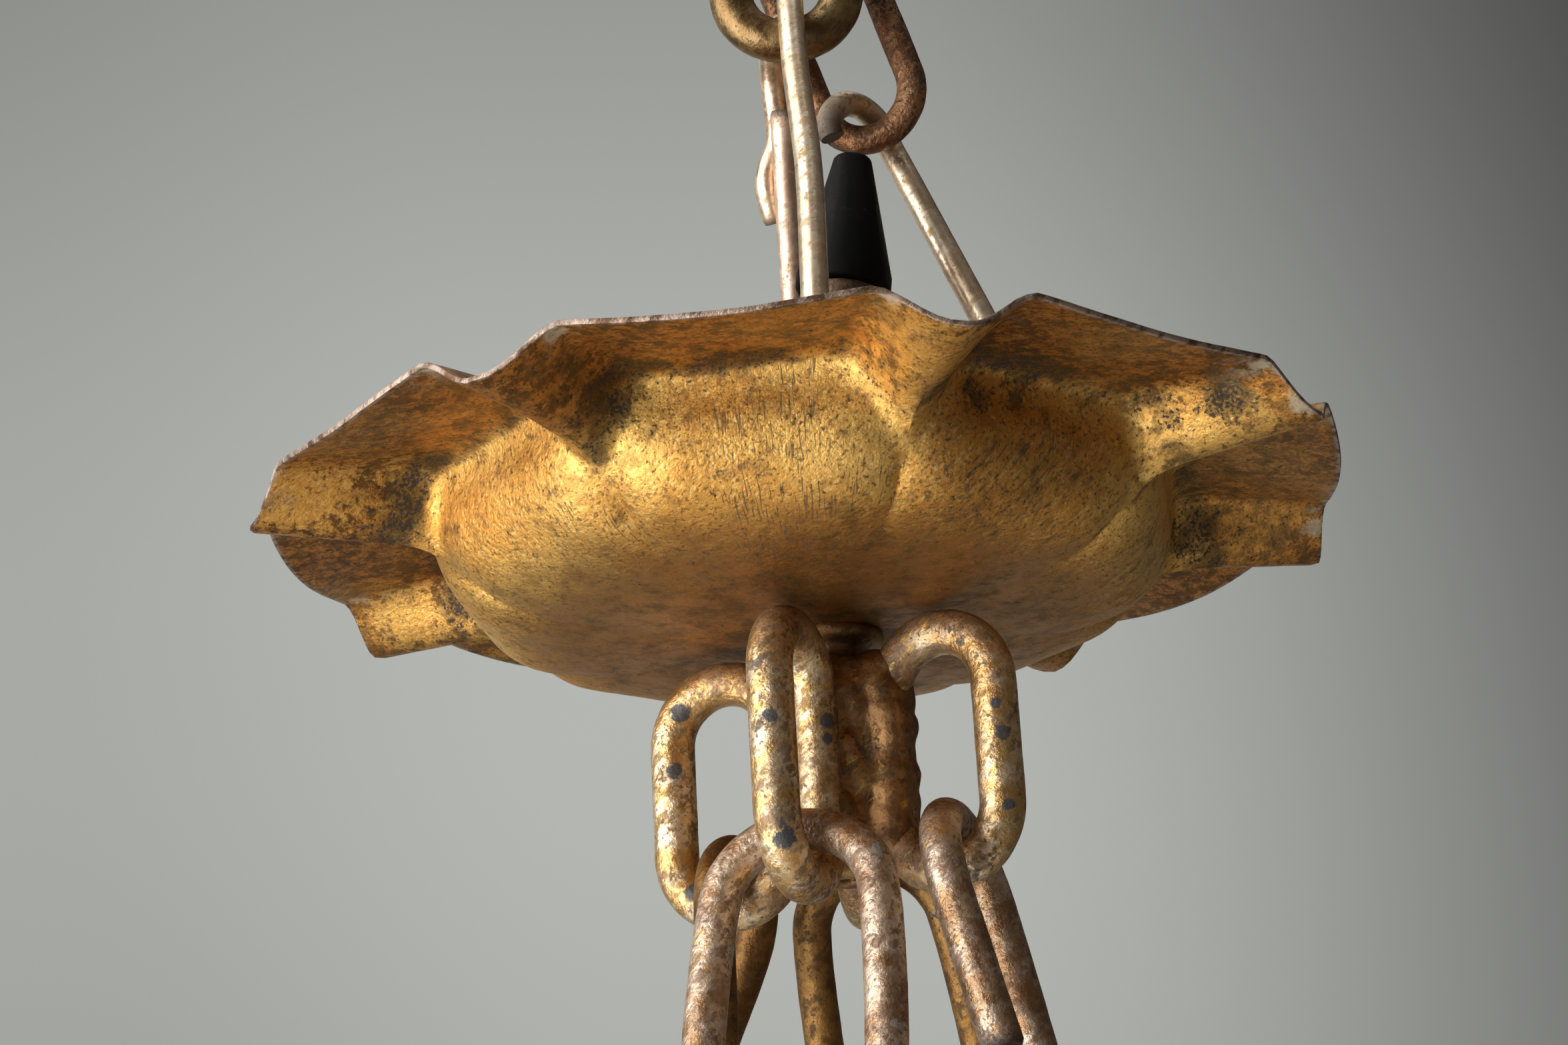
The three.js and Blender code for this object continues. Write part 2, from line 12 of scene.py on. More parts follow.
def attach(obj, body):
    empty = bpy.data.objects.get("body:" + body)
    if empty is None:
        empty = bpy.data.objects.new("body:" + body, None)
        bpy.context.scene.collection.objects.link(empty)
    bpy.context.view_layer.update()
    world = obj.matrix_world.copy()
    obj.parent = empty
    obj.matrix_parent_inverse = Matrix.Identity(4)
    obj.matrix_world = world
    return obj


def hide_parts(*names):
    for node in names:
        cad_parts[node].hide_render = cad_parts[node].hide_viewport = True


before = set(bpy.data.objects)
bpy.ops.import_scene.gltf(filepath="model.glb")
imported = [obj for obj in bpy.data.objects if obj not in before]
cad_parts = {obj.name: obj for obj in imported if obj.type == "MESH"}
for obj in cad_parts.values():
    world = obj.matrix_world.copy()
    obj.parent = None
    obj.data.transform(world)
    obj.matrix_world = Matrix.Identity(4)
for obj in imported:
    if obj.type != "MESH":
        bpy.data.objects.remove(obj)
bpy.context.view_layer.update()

MM = 0.001
SHIFT = np.array([-1.5, -1.2, -122.7])

# Camera, at the photograph's viewing angle
IMAGE = (2352, 1568)
FOCAL_PX = 4543.7
EYE = np.array([0.0, -363.05, -129.53])
EYE_RIGHT = (0.99825, 0.02689, -0.05259)
EYE_UP = (0.05861, -0.34087, 0.93828)
EYE_AHEAD = (-0.00730, 0.93972, 0.34186)


def metres(points):
    return (np.asarray(points, float) + SHIFT) * MM


def add(name, data):
    obj = bpy.data.objects.new(name, data)
    bpy.context.scene.collection.objects.link(obj)
    return obj


def add_camera():
    data = bpy.data.cameras.new("camera")
    data.sensor_fit = "HORIZONTAL"
    data.sensor_width = 36.0
    data.lens = 36.0 * FOCAL_PX / IMAGE[0]
    data.clip_start = 0.01
    camera = add("camera", data)
    turn = Matrix((EYE_RIGHT, EYE_UP, [-v for v in EYE_AHEAD])).transposed().to_4x4()
    camera.matrix_world = Matrix.Translation(metres(EYE)) @ turn
    bpy.context.scene.camera = camera


add_camera()

# Sizes shared with the part, in mm and degrees
TOUCH = 0.35
LOBES = 8
FIRST_PINCH = -30.0
PITCH = 360.0 / LOBES
PINCH_RADIUS = 70.0
CORNER_RADIUS = 68.3
CORNER_ANGLE = 7.4
CORNER_HEIGHT = 4.4
DISH_DEPTH = 12.5
BOWL_RADIUS = 45.3
WALL_SPREAD = 0.6
SHEET = 1.1
THINNED = 0.62  # of the sheet is left, as its edge looks in the photograph
FLOOR_RADIUS = 13.0
RIM_DROOP = 1.6
RIM_BOW = 0.7
HUB = 2.4

STEM_RADIUS = 4.4
STEM_BORE = 1.6
COLLAR_RADIUS = 6.6
COLLAR_THICK = 2.0
STUD_RADIUS = 3.6
STEM_DROP = 30.0
NUT_THICK = 5.0
STRAP_THICK = 3.0

EYES = {
    "front": dict(azimuth=-20, length=36.6, drop=0.8, splay=15.8, lean=1.9, turn=4, curl=0, slip=0),
    "right": dict(azimuth=57, length=35.4, drop=0.4, splay=12.5, lean=0, turn=14, curl=0, slip=0),
    "back": dict(azimuth=171, length=34.4, drop=0.2, splay=17.3, lean=-4, turn=-17, curl=0,
                 slip=-0.5),
    "left": dict(azimuth=-112, length=34.8, drop=1.2, splay=7.6, lean=9, turn=-2.3, curl=69,
                 slip=-3.3),
}
EYE_WIRE = 5.7
EYE_WIDTH = 20.8
LINK_WIRE = 5.3
LINK_WIDTH = 25.0
LINK_BOW = 0.9
LINK_LENGTH = 68.0
SEAM_GAP = 0.9
SEAM_SLIP = 1.2

STRAP_REACH = 33.8
EAR_HEIGHT = 1.0
EAR_TILT = 23.0
ROD_WIRE = 3.6
HEAD_RADIUS = 4.0
HEAD_THICK = 2.2
BACK_ROD_TOP = np.array([0.1, 7.05, 65])
BACK_ROD_BOW = ((20, -1), (45, -0.7))
BAIL_LAP = ((74, -0.3, -1.6), (70, -0.9, 3.3), (63, -0.9, 4.8), (59.5, -2.4, 4.2),
            (56.5, -3, 3.4), (52.5, -2.2, 3.9))
BAIL_BOW = 1.7
BAIL_ASIDE = 0.4

TOP_LINK_WIRE = 6.0
TOP_LINK_WIDTH = 21.0
TOP_LINK_LENGTH = 36.0
TOP_LINK_FOOT = np.array([1.5, -2.5, 70.3])
TOP_LINK_LEAN = 1.2
SIDE_LINK_WIRE = 4.2
SIDE_LINK_WIDTH = 17.4
SIDE_LINK_TWIST = 22.0
SIDE_LINK_FOOT = np.array([13.5, 6.8, 60.2])
SIDE_LINK_SLIP = -0.35
SIDE_LINK_RISE = 1.2
SIDE_HOOK_RADIUS = 6.4
SIDE_HOOK_RISE = 0.5
SIDE_HOOK_RETURN = 1.6
SIDE_HOOK_MIDDLE = (-3.1, 0.3)
SIDE_HOOK_PLANE = (0.68, 0.733, 0)
RING_WIRE = 5.0
RING_RADIUS = 15.5
RING_GAP = 0.6
RING_MIDDLE_Y = 1.2

FLOOR_TOP = -DISH_DEPTH + SHEET
COLLAR_TOP = -DISH_DEPTH - TOUCH
COLLAR_FOOT = COLLAR_TOP - COLLAR_THICK
STEM_FOOT = COLLAR_FOOT - STEM_DROP
NUT_LOW = FLOOR_TOP + 2 * STRAP_THICK + 3 * TOUCH
STUD_TOP = NUT_LOW + NUT_THICK + 3


def around(azimuth, radius, z=0.0):
    a = math.radians(azimuth)
    return np.array([radius * math.sin(a), -radius * math.cos(a), z])


# Paths of the wires
def spline(points, step=0.6):
    """Centripetal Catmull-Rom curve through the points, at even steps."""
    p = np.asarray(points, float)
    p = np.vstack([2 * p[0] - p[1], p, 2 * p[-1] - p[-2]])
    out = []
    for i in range(1, len(p) - 2):
        t = [0.0]
        for k in range(3):
            t.append(t[-1] + max(np.linalg.norm(p[i + k] - p[i + k - 1]), 1e-6) ** 0.5)
        for u in np.linspace(t[1], t[2], 24, endpoint=False):
            a = [((t[k + 1] - u) * p[i - 1 + k] + (u - t[k]) * p[i + k]) / (t[k + 1] - t[k])
                 for k in range(3)]
            b = [((t[k + 2] - u) * a[k] + (u - t[k]) * a[k + 1]) / (t[k + 2] - t[k])
                 for k in range(2)]
            out.append(((t[2] - u) * b[0] + (u - t[1]) * b[1]) / (t[2] - t[1]))
    out.append(p[-2])
    return even_steps(np.array(out), step)


def even_steps(points, step):
    run = np.r_[0, np.cumsum(np.linalg.norm(np.diff(points, axis=0), axis=1))]
    at = np.linspace(0, run[-1], max(int(run[-1] / step), 2) + 1)
    return np.stack([np.interp(at, run, points[:, k]) for k in range(3)], axis=1)


def oval(width, length, wire, step=0.6):
    """Closed oval of wire in the XZ plane, about its middle."""
    bend = (width - wire) / 2
    limb = (length - width) / 2
    a = np.linspace(0, math.pi, 60)
    top = np.c_[bend * np.cos(a), 0 * a, limb + bend * np.sin(a)]
    return even_steps(np.vstack([top, -top, top[:1]]), step)[:-1]


def link_points(curl):
    """Open link of bowed limbs with a butt seam in one, twisted by curl degrees to its foot."""
    bend = (LINK_WIDTH - LINK_WIRE) / 2
    limb = (LINK_LENGTH - LINK_WIDTH) / 2

    def bowed(t):
        return bend + LINK_BOW * (1 - t * t)

    points = [(bowed(0), SEAM_SLIP, -SEAM_GAP / 2)]
    points += [(bowed(t), SEAM_SLIP * (1 - t), t * limb) for t in (0.3, 0.65)]
    arc = [i / 8 * math.pi for i in range(9)]
    points += [(bend * math.cos(a), 0, limb + bend * math.sin(a)) for a in arc]
    points += [(-bowed(t), 0, t * limb) for t in (0.4, -0.4)]
    points += [(-bend * math.cos(a), 0, -limb - bend * math.sin(a)) for a in arc]
    points += [(bowed(t) - SEAM_SLIP * (1 - t), 0, -t * limb) for t in (0.65, 0.3)]
    points.append((bowed(0) - SEAM_SLIP, -SEAM_SLIP / 2, -SEAM_GAP * 1.5))
    out = []
    for x, y, z in points:
        a = math.radians(curl) * (LINK_LENGTH / 2 - z) / LINK_LENGTH
        out.append((x * math.cos(a) - y * math.sin(a), x * math.sin(a) + y * math.cos(a), z))
    return spline(out)


def placed(points, matrix):
    return np.array([tuple(matrix @ Vector(p)) for p in points])


def spoke(azimuth):
    turn = Matrix.Rotation(math.radians(azimuth - 90), 4, "Z")
    return Matrix.Translation((HUB, 0, 0)) @ turn


EYE_REACH = STEM_RADIUS + TOUCH + EYE_WIDTH / 2


def eye_path(side):
    e = EYES[side]
    middle = -DISH_DEPTH - TOUCH - e["drop"] - e["length"] / 2
    place = spoke(e["azimuth"]) @ Matrix.Translation((EYE_REACH, 0, middle))
    return placed(oval(EYE_WIDTH, e["length"], EYE_WIRE), place)


def link_path(side):
    e = EYES[side]
    splay = math.radians(e["splay"])
    seat = (EYE_WIDTH - EYE_WIRE) / 2 - (EYE_WIRE + LINK_WIRE) / 2 - TOUCH
    foot = -DISH_DEPTH - TOUCH - e["drop"] - e["length"] + EYE_WIDTH / 2
    hang = (LINK_WIDTH - EYE_WIRE) / 2 - LINK_WIRE - TOUCH
    rise = hang - math.sqrt(hang ** 2 - e["slip"] ** 2)
    pivot = (EYE_REACH + seat * math.sin(splay), 0, foot - seat * math.cos(splay))
    place = (
        spoke(e["azimuth"])
        @ Matrix.Translation(pivot)
        @ Matrix.Rotation(-splay, 4, "Y")
        @ Matrix.Rotation(math.radians(e["lean"]), 4, "X")
        @ Matrix.Translation((0, e["slip"], rise - (LINK_LENGTH - LINK_WIRE) / 2))
        @ Matrix.Rotation(math.radians(e["turn"]) - math.pi / 2, 4, "Z")
    )
    return placed(link_points(e["curl"]), place)


def ear_point(azimuth):
    return around(azimuth, STRAP_REACH, EAR_HEIGHT) + (HUB, 0, 0)


def rod_foot(azimuth, toward):
    ear = ear_point(azimuth)
    along = (toward - ear) / np.linalg.norm(toward - ear)
    tilt = math.radians(EAR_TILT)
    askew = np.linalg.norm(np.cross(along, around(azimuth, -math.sin(tilt), math.cos(tilt))))
    return ear - along * (HEAD_THICK + TOUCH + HEAD_RADIUS * askew), along


def hook_arc(middle, to_shaft, radius, start, end, steps=6):
    points = []
    for i in range(steps + 1):
        a = math.radians(start + (end - start) * i / steps)
        points.append(middle + np.asarray(to_shaft) * radius * math.cos(a)
                      + np.array([0, 0, radius * math.sin(a)]))
    return points


BAIL_RADIUS = (TOP_LINK_WIRE + ROD_WIRE) / 2 + TOUCH + 0.2
BAIL_HOOK = TOP_LINK_FOOT + (BAIL_ASIDE, 0, 0)
BAIL_HOOK_ARC = (18, 120)
SIDE_HOOK_ARC = (22, 170)


def on_back_rod(z):
    t = (BACK_ROD_TOP[2] - z) / (BACK_ROD_TOP[2] - ear_point(180)[2])
    return BACK_ROD_TOP + t * (ear_point(180) - BACK_ROD_TOP)


def bail_hook():
    return hook_arc(BAIL_HOOK, (0, -1, 0), BAIL_RADIUS, *BAIL_HOOK_ARC)


def bail_path():
    arc = bail_hook()
    start, _ = rod_foot(0, arc[0])
    ear = ear_point(0)
    limb = []
    for t in (0.04, 0.3, 0.6, 0.85, 0.96):
        bow = BAIL_BOW * math.sin(math.pi * min(t * 1.15, 1))
        limb.append(ear + t * (arc[0] - ear) + (bow * t, 0, 0))
    lap = [on_back_rod(z) + (x, y, 0) for z, x, y in BAIL_LAP]
    return spline([start, *limb, *arc, *lap])


def back_rod_path():
    start, _ = rod_foot(180, BACK_ROD_TOP)
    bowed = [on_back_rod(z) + (x, 0, 0) for z, x in BACK_ROD_BOW]
    return spline([start, *bowed, BACK_ROD_TOP])


def side_hook():
    seat = (SIDE_LINK_WIRE + ROD_WIRE) / 2 + TOUCH + SIDE_HOOK_RISE - SIDE_HOOK_RADIUS
    middle = SIDE_LINK_FOOT + (*SIDE_HOOK_MIDDLE, seat)
    return hook_arc(middle, SIDE_HOOK_PLANE, SIDE_HOOK_RADIUS, *SIDE_HOOK_ARC, 7)


def side_rod_path():
    arc = side_hook()
    tip = arc[-1] + (0.4, 0, -SIDE_HOOK_RETURN)
    start, _ = rod_foot(90, arc[0])
    limb = [ear_point(90) + t * (arc[0] - ear_point(90)) for t in (0.04, 0.3, 0.6, 0.9)]
    return spline([start, *limb, *arc, tip])


TOP_LEAN = math.radians(TOP_LINK_LEAN)
RING_FOOT = TOP_LINK_FOOT + (
    0,
    (TOP_LINK_LENGTH - TOP_LINK_WIRE) * math.sin(TOP_LEAN),
    TOP_LINK_LENGTH - TOP_LINK_WIRE - (TOP_LINK_WIRE + RING_WIRE) / 2 - RING_GAP,
)
RING_MIDDLE = np.array([RING_FOOT[0], RING_MIDDLE_Y, RING_FOOT[2] + RING_RADIUS])


def top_link_path():
    place = (
        Matrix.Translation(TOP_LINK_FOOT)
        @ Matrix.Rotation(-TOP_LEAN, 4, "X")
        @ Matrix.Translation((0, 0, (TOP_LINK_LENGTH - TOP_LINK_WIRE) / 2))
    )
    return placed(oval(TOP_LINK_WIDTH, TOP_LINK_LENGTH, TOP_LINK_WIRE), place)


def side_link_path():
    foot = SIDE_LINK_FOOT
    head = RING_FOOT + (
        SIDE_LINK_SLIP,
        (TOP_LINK_WIRE + SIDE_LINK_WIRE) / 2 + TOUCH,
        (SIDE_LINK_WIRE + RING_WIRE) / 2 + SIDE_LINK_RISE,
    )
    axis = head - foot
    length = np.linalg.norm(axis) + SIDE_LINK_WIRE
    axis = axis / np.linalg.norm(axis)
    across = np.array([1, 0, 0]) - axis * axis[0]
    across /= np.linalg.norm(across)
    depth = np.cross(axis, across)
    flat = oval(SIDE_LINK_WIDTH, length, SIDE_LINK_WIRE)
    down = np.clip(0.5 - flat[:, 2] / length, 0, 1)
    a = -math.radians(SIDE_LINK_TWIST) * down
    twisted = np.c_[flat[:, 0] * np.cos(a), flat[:, 0] * np.sin(a), flat[:, 2]]
    return twisted @ np.array([across, depth, axis]) + (foot + head) / 2


def ring_path():
    a = np.linspace(0, 2 * math.pi, 180, endpoint=False)
    return np.c_[0 * a, RING_RADIUS * np.cos(a), RING_RADIUS * np.sin(a)] + RING_MIDDLE


# Small mesh helpers
def new_object(name, verts, faces=(), edges=(), attributes=None):
    mesh = bpy.data.meshes.new(name)
    mesh.from_pydata([tuple(v) for v in verts], list(edges), [tuple(f) for f in faces])
    for key, values in (attributes or {}).items():
        layer = mesh.attributes.new(key, "FLOAT", "POINT")
        layer.data.foreach_set("value", np.asarray(values, np.float32))
    mesh.update()
    return add(name, mesh)


def object_from(name, mesh, finish):
    """An object from a mesh in the making, which is used up."""
    data = bpy.data.meshes.new(name)
    mesh.to_mesh(data)
    mesh.free()
    data.materials.clear()
    data.materials.append(finish)
    return add(name, data)


def settle(obj):
    """Turn an object's modifiers into a plain mesh of its own."""
    graph = bpy.context.evaluated_depsgraph_get()
    done = bpy.data.meshes.new_from_object(obj.evaluated_get(graph))
    old = obj.data
    obj.modifiers.clear()
    obj.data = done
    done.name = obj.name
    bpy.data.meshes.remove(old)
    return obj


def modify(obj, kind, **settings):
    made = obj.modifiers.new(kind.lower(), kind)
    for key, value in settings.items():
        setattr(made, key, value)
    return made


def ease_edges(obj, width, angle):
    modify(obj, "BEVEL", width=width * MM, segments=2, limit_method="ANGLE",
           angle_limit=math.radians(angle))


def smooth(obj, angle=None):
    obj.data.polygons.foreach_set("use_smooth", [True] * len(obj.data.polygons))
    if angle is not None:
        obj.data.set_sharp_from_angle(angle=math.radians(angle))


def finish_piece(obj, body, slot, *nodes):
    if nodes:
        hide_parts(*nodes)
    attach(obj, body)
    return obj


# Node tree helpers
def node(tree, kind, inputs=None, **settings):
    made = tree.nodes.new(kind)
    for key, value in settings.items():
        setattr(made, key, value)
    for key, value in (inputs or {}).items():
        value = getattr(value, "socket", value)
        if isinstance(value, bpy.types.NodeSocket):
            tree.links.new(value, made.inputs[key])
        else:
            made.inputs[key].default_value = value
    return made


class Value:
    """What a node gives out. Sums on it add nodes to its tree, and | takes the greater one."""

    def __init__(self, socket):
        self.socket = socket
        self.tree = socket.id_data

    def made(self, kind, out=0, **settings):
        """What a new node in the same tree gives out."""
        return Value(node(self.tree, kind, **settings).outputs[out])

    def maths(self, operation, first, second):
        return self.made("ShaderNodeMath", operation=operation, inputs={0: first, 1: second})

    def vectors(self, operation, other, out=0):
        return self.made("ShaderNodeVectorMath", out, operation=operation,
                         inputs={0: self, 1: other})

    def __add__(self, other):
        return self.maths("ADD", self, other)

    def __sub__(self, other):
        return self.maths("SUBTRACT", self, other)

    def __rsub__(self, other):
        return self.maths("SUBTRACT", other, self)

    def __mul__(self, other):
        return self.maths("MULTIPLY", self, other)

    def __or__(self, other):
        return self.maths("MAXIMUM", self, other)


SOCKETS = {int: "NodeSocketInt", float: "NodeSocketFloat", tuple: "NodeSocketVector"}


def new_tree(name, **starts):
    """A geometry tree that takes named sizes and a finish, and the sockets that it is given."""
    tree = bpy.data.node_groups.new(name, "GeometryNodeTree")
    for way in ("INPUT", "OUTPUT"):
        tree.interface.new_socket(name="Geometry", in_out=way, socket_type="NodeSocketGeometry")
    for key, start in starts.items():
        socket = tree.interface.new_socket(name=key, in_out="INPUT",
                                           socket_type=SOCKETS[type(start)])
        socket.default_value = start
    tree.interface.new_socket(name="finish", in_out="INPUT", socket_type="NodeSocketMaterial")
    return tree, tree.nodes.new("NodeGroupInput").outputs


def end_tree(tree, geometry, finish):
    real = node(tree, "GeometryNodeRealizeInstances", {"Geometry": geometry})
    painted = node(tree, "GeometryNodeSetMaterial",
                   {"Geometry": real.outputs[0], "Material": finish})
    out = tree.nodes.new("NodeGroupOutput")
    tree.links.new(painted.outputs[0], out.inputs["Geometry"])
    return tree


def run_tree(obj, tree, **values):
    """Put an object through a tree, with its inputs set by their names."""
    modifier = modify(obj, "NODES", node_group=tree)
    for item in tree.interface.items_tree:
        if item.item_type == "SOCKET" and item.in_out == "INPUT" and item.name in values:
            modifier[item.identifier] = values[item.name]


def named(tree, key):
    found = node(tree, "GeometryNodeInputNamedAttribute", {"Name": key}, data_type="FLOAT")
    return Value(found.outputs["Attribute"])


def dented(tree, given, geometry, detail, parts, *factors):
    """Push a surface in and out by noise, in parts of (scale, weight), times the factors."""
    place = Value(node(tree, "GeometryNodeInputPosition").outputs[0])
    height = None
    for scale, weight in parts:
        noise = place.made("ShaderNodeTexNoise", noise_dimensions="4D",
                           inputs={"Vector": place, "W": given["seed"], "Detail": detail,
                                   "Scale": Value(given["dent_scale"]) * scale})
        part = (noise - 0.5) * (weight * 2)
        height = height + part if height else part
    for factor in factors:
        height = height * factor
    normal = node(tree, "GeometryNodeInputNormal").outputs[0]
    push = node(tree, "ShaderNodeVectorMath", {"Vector": normal, "Scale": height},
                operation="SCALE")
    return node(tree, "GeometryNodeSetPosition",
                {"Geometry": geometry, "Offset": push.outputs[0]}).outputs[0]


# Wires
def wire_tree():
    """A round wire along a path of edges, with hammered dents and eased ends."""
    tree, given = new_tree("hammered_wire", radius=0.003, sides=32, dent=0.0001,
                           dent_scale=220.0, seed=0.0)
    path = node(tree, "GeometryNodeMeshToCurve", {"Mesh": given["Geometry"]})
    circle = node(tree, "GeometryNodeCurvePrimitiveCircle",
                  {"Resolution": given["sides"], "Radius": given["radius"]})
    sweep = node(tree, "GeometryNodeCurveToMesh",
                 {"Curve": path.outputs[0], "Profile Curve": circle.outputs[0],
                  "Fill Caps": True, "Scale": named(tree, "ease")})
    beaten = dented(tree, given, sweep.outputs[0], 2.0, ((1.0, 0.6), (3.1, 0.4)), given["dent"])
    return end_tree(tree, beaten, given["finish"])


WIRE_TREE = wire_tree()
WIRE_SIDES = 32
WIRE_DENTS = 210.0
CUT_END = 0.86  # of a wire's radius is left at its cut ends
THINNED_BY = 0.4  # of a dent's depth, which keeps the dents inside the part's wire
LINK_SLACK = 0.2  # mm off a link's wire, which keeps its feet inside the part's box


def wire(part, path, diameter, closed, finish, seed, slot="pale_gilt", body="crown", dent=0.13,
         soot_ends=(1, 1), soot_reach=2.0):
    """The wire piece that stands for a part, from its path, with soot at its cut ends."""
    n = len(path)
    edges = [(i, i + 1) for i in range(n - 1)] + ([(n - 1, 0)] if closed else [])
    ease = np.ones(n)
    soot = np.zeros(n)
    if not closed:
        ease[0] = ease[-1] = CUT_END
        fade = np.exp(-(np.arange(n) / soot_reach) ** 2)
        soot = soot_ends[0] * fade + soot_ends[1] * fade[::-1]
    obj = new_object(part + "_wire", metres(path), edges=edges,
                     attributes={"ease": ease, "soot": soot})
    run_tree(obj, WIRE_TREE, radius=(diameter / 2 - dent * THINNED_BY) * MM,
             sides=WIRE_SIDES, dent=dent * MM, dent_scale=WIRE_DENTS, seed=float(seed),
             finish=finish)
    smooth(settle(obj), 50)
    return finish_piece(obj, body, slot, part)


# Dish: two sections of a lobe, one down its middle and one down a pinch, as [radius, height]
LOBE_SECTION = [
    (FLOOR_RADIUS, -DISH_DEPTH), (22, -DISH_DEPTH + 0.1), (32, -DISH_DEPTH + 1.0),
    (39, -DISH_DEPTH + 3.0), (BOWL_RADIUS - 2.3, -6.0), (BOWL_RADIUS - 0.5, -1.8),
    (BOWL_RADIUS, 2.4), (BOWL_RADIUS + 1.2, 5.0), (BOWL_RADIUS + 4.5, 5.8),
    (BOWL_RADIUS + 11, 5.5), (None, CORNER_HEIGHT),
]
PINCH_SECTION = [
    (FLOOR_RADIUS, -DISH_DEPTH), (22, -DISH_DEPTH + 0.25), (31.6, -DISH_DEPTH + 1.2),
    (38, -DISH_DEPTH + 3.2), (42.2, -6.4), (44.5, -4.8), (47, -3.1), (50, -2.0),
    (55, -1.4), (61, -1.0), (PINCH_RADIUS, -0.4),
]
WALL_ROW = 4
FLANGE_ROW = 8
LAST_ROW = len(LOBE_SECTION) - 1
HOLE_RADIUS = STUD_RADIUS + TOUCH


def rim_radius(from_pinch):
    if from_pinch < CORNER_ANGLE:
        t = math.sin(from_pinch / CORNER_ANGLE * math.pi / 2)
        return PINCH_RADIUS + (CORNER_RADIUS - PINCH_RADIUS) * t
    half = PITCH / 2
    chord = CORNER_RADIUS * math.cos(math.radians(half - CORNER_ANGLE))
    chord /= math.cos(math.radians(half - from_pinch))
    return chord + (CORNER_RADIUS - chord) * RIM_BOW


def section_value(section, column, row, from_pinch):
    low = min(int(row), LAST_ROW - 1)
    t = row - low
    p = []
    for k in (-1, 0, 1, 2):
        read = section[min(max(low + k, 0), LAST_ROW)][column]
        p.append(rim_radius(from_pinch) if read is None else read)
    bend = 2 * p[0] - 5 * p[1] + 4 * p[2] - p[3]
    twist = -p[0] + 3 * p[1] - 3 * p[2] + p[3]
    return p[1] + 0.5 * t * (p[2] - p[0] + t * (bend + t * twist))


def dish_point(row, turn):
    """Underside of the dish at a row and an angle past the first pinch."""
    from_pinch = min(turn, PITCH - turn)
    opened = min(from_pinch / (WALL_SPREAD * PITCH / 2), 1)
    bowl = opened * (2 - opened)
    fold = 0.5 - 0.5 * math.cos(min(from_pinch / (CORNER_ANGLE + 1), 1) * math.pi)
    share = min(max((row - WALL_ROW) / (FLANGE_ROW - WALL_ROW), 0), 1)
    blend = bowl + (fold - bowl) * share
    panel = 1 / math.cos(math.radians(PITCH / 2 - from_pinch)) - 1
    flat = min(max(row - 2, 0), 1) * min(max(FLANGE_ROW + 1 - row, 0), 1)
    values = []
    for column in (0, 1):
        pinch = section_value(PINCH_SECTION, column, row, from_pinch)
        lobe = section_value(LOBE_SECTION, column, row, from_pinch)
        if column == 0:
            lobe *= 1 + panel * flat
        values.append(pinch + (lobe - pinch) * blend)
    radius, height = values
    if row > LAST_ROW - 0.01:
        radius = rim_radius(from_pinch)
    along = min(max((from_pinch - CORNER_ANGLE) / (PITCH / 2 - CORNER_ANGLE), 0), 1)
    outer = min(max((row - FLANGE_ROW) / (LAST_ROW - FLANGE_ROW), 0), 1)
    height -= RIM_DROOP * outer * math.sin(along * math.pi / 2)
    return around(FIRST_PINCH + turn, radius, height)


def lobe_tree():
    """One lobe set round the bowl, joined at the pinches and beaten a little uneven."""
    tree, given = new_tree("lobes_round", lobes=8, hub_shift=(0.0, 0.0, 0.0),
                           place=(0.0, 0.0, 0.0), dent=0.0003, dent_scale=60.0, seed=0.0)
    points = node(tree, "GeometryNodePoints", {"Count": given["lobes"]})
    index = Value(node(tree, "GeometryNodeInputIndex").outputs[0])
    angle = index * index.maths("DIVIDE", math.tau, given["lobes"])
    lobes = node(tree, "GeometryNodeInstanceOnPoints",
                 {"Points": points.outputs[0], "Instance": given["Geometry"],
                  "Rotation": angle.made("ShaderNodeCombineXYZ", inputs={"Z": angle})})
    real = node(tree, "GeometryNodeRealizeInstances", {"Geometry": lobes.outputs[0]})
    joined = node(tree, "GeometryNodeMergeByDistance",
                  {"Geometry": real.outputs[0], "Distance": 2e-5})
    hub = named(tree, "hub")
    aside = node(tree, "ShaderNodeVectorMath", {"Vector": given["hub_shift"], "Scale": hub},
                 operation="SCALE")
    shifted = node(tree, "GeometryNodeSetPosition",
                   {"Geometry": joined.outputs[0], "Offset": aside.outputs[0]})
    beaten = dented(tree, given, shifted.outputs[0], 1.0, ((1.0, 0.75), (3.3, 0.25)),
                    given["dent"], 1.0 - hub)
    set_down = node(tree, "GeometryNodeTransform",
                    {"Geometry": beaten, "Translation": given["place"]})
    return end_tree(tree, set_down.outputs[0], given["finish"])


COLUMNS = 40
ROWS = 64
HUB_ROWS = 5
PALE_WIDTH = 3.2  # degrees of the pale wear at each corner
PALE_ROWS = 0.42
DISH_DENT = 0.42
DISH_DENTS = 52.0


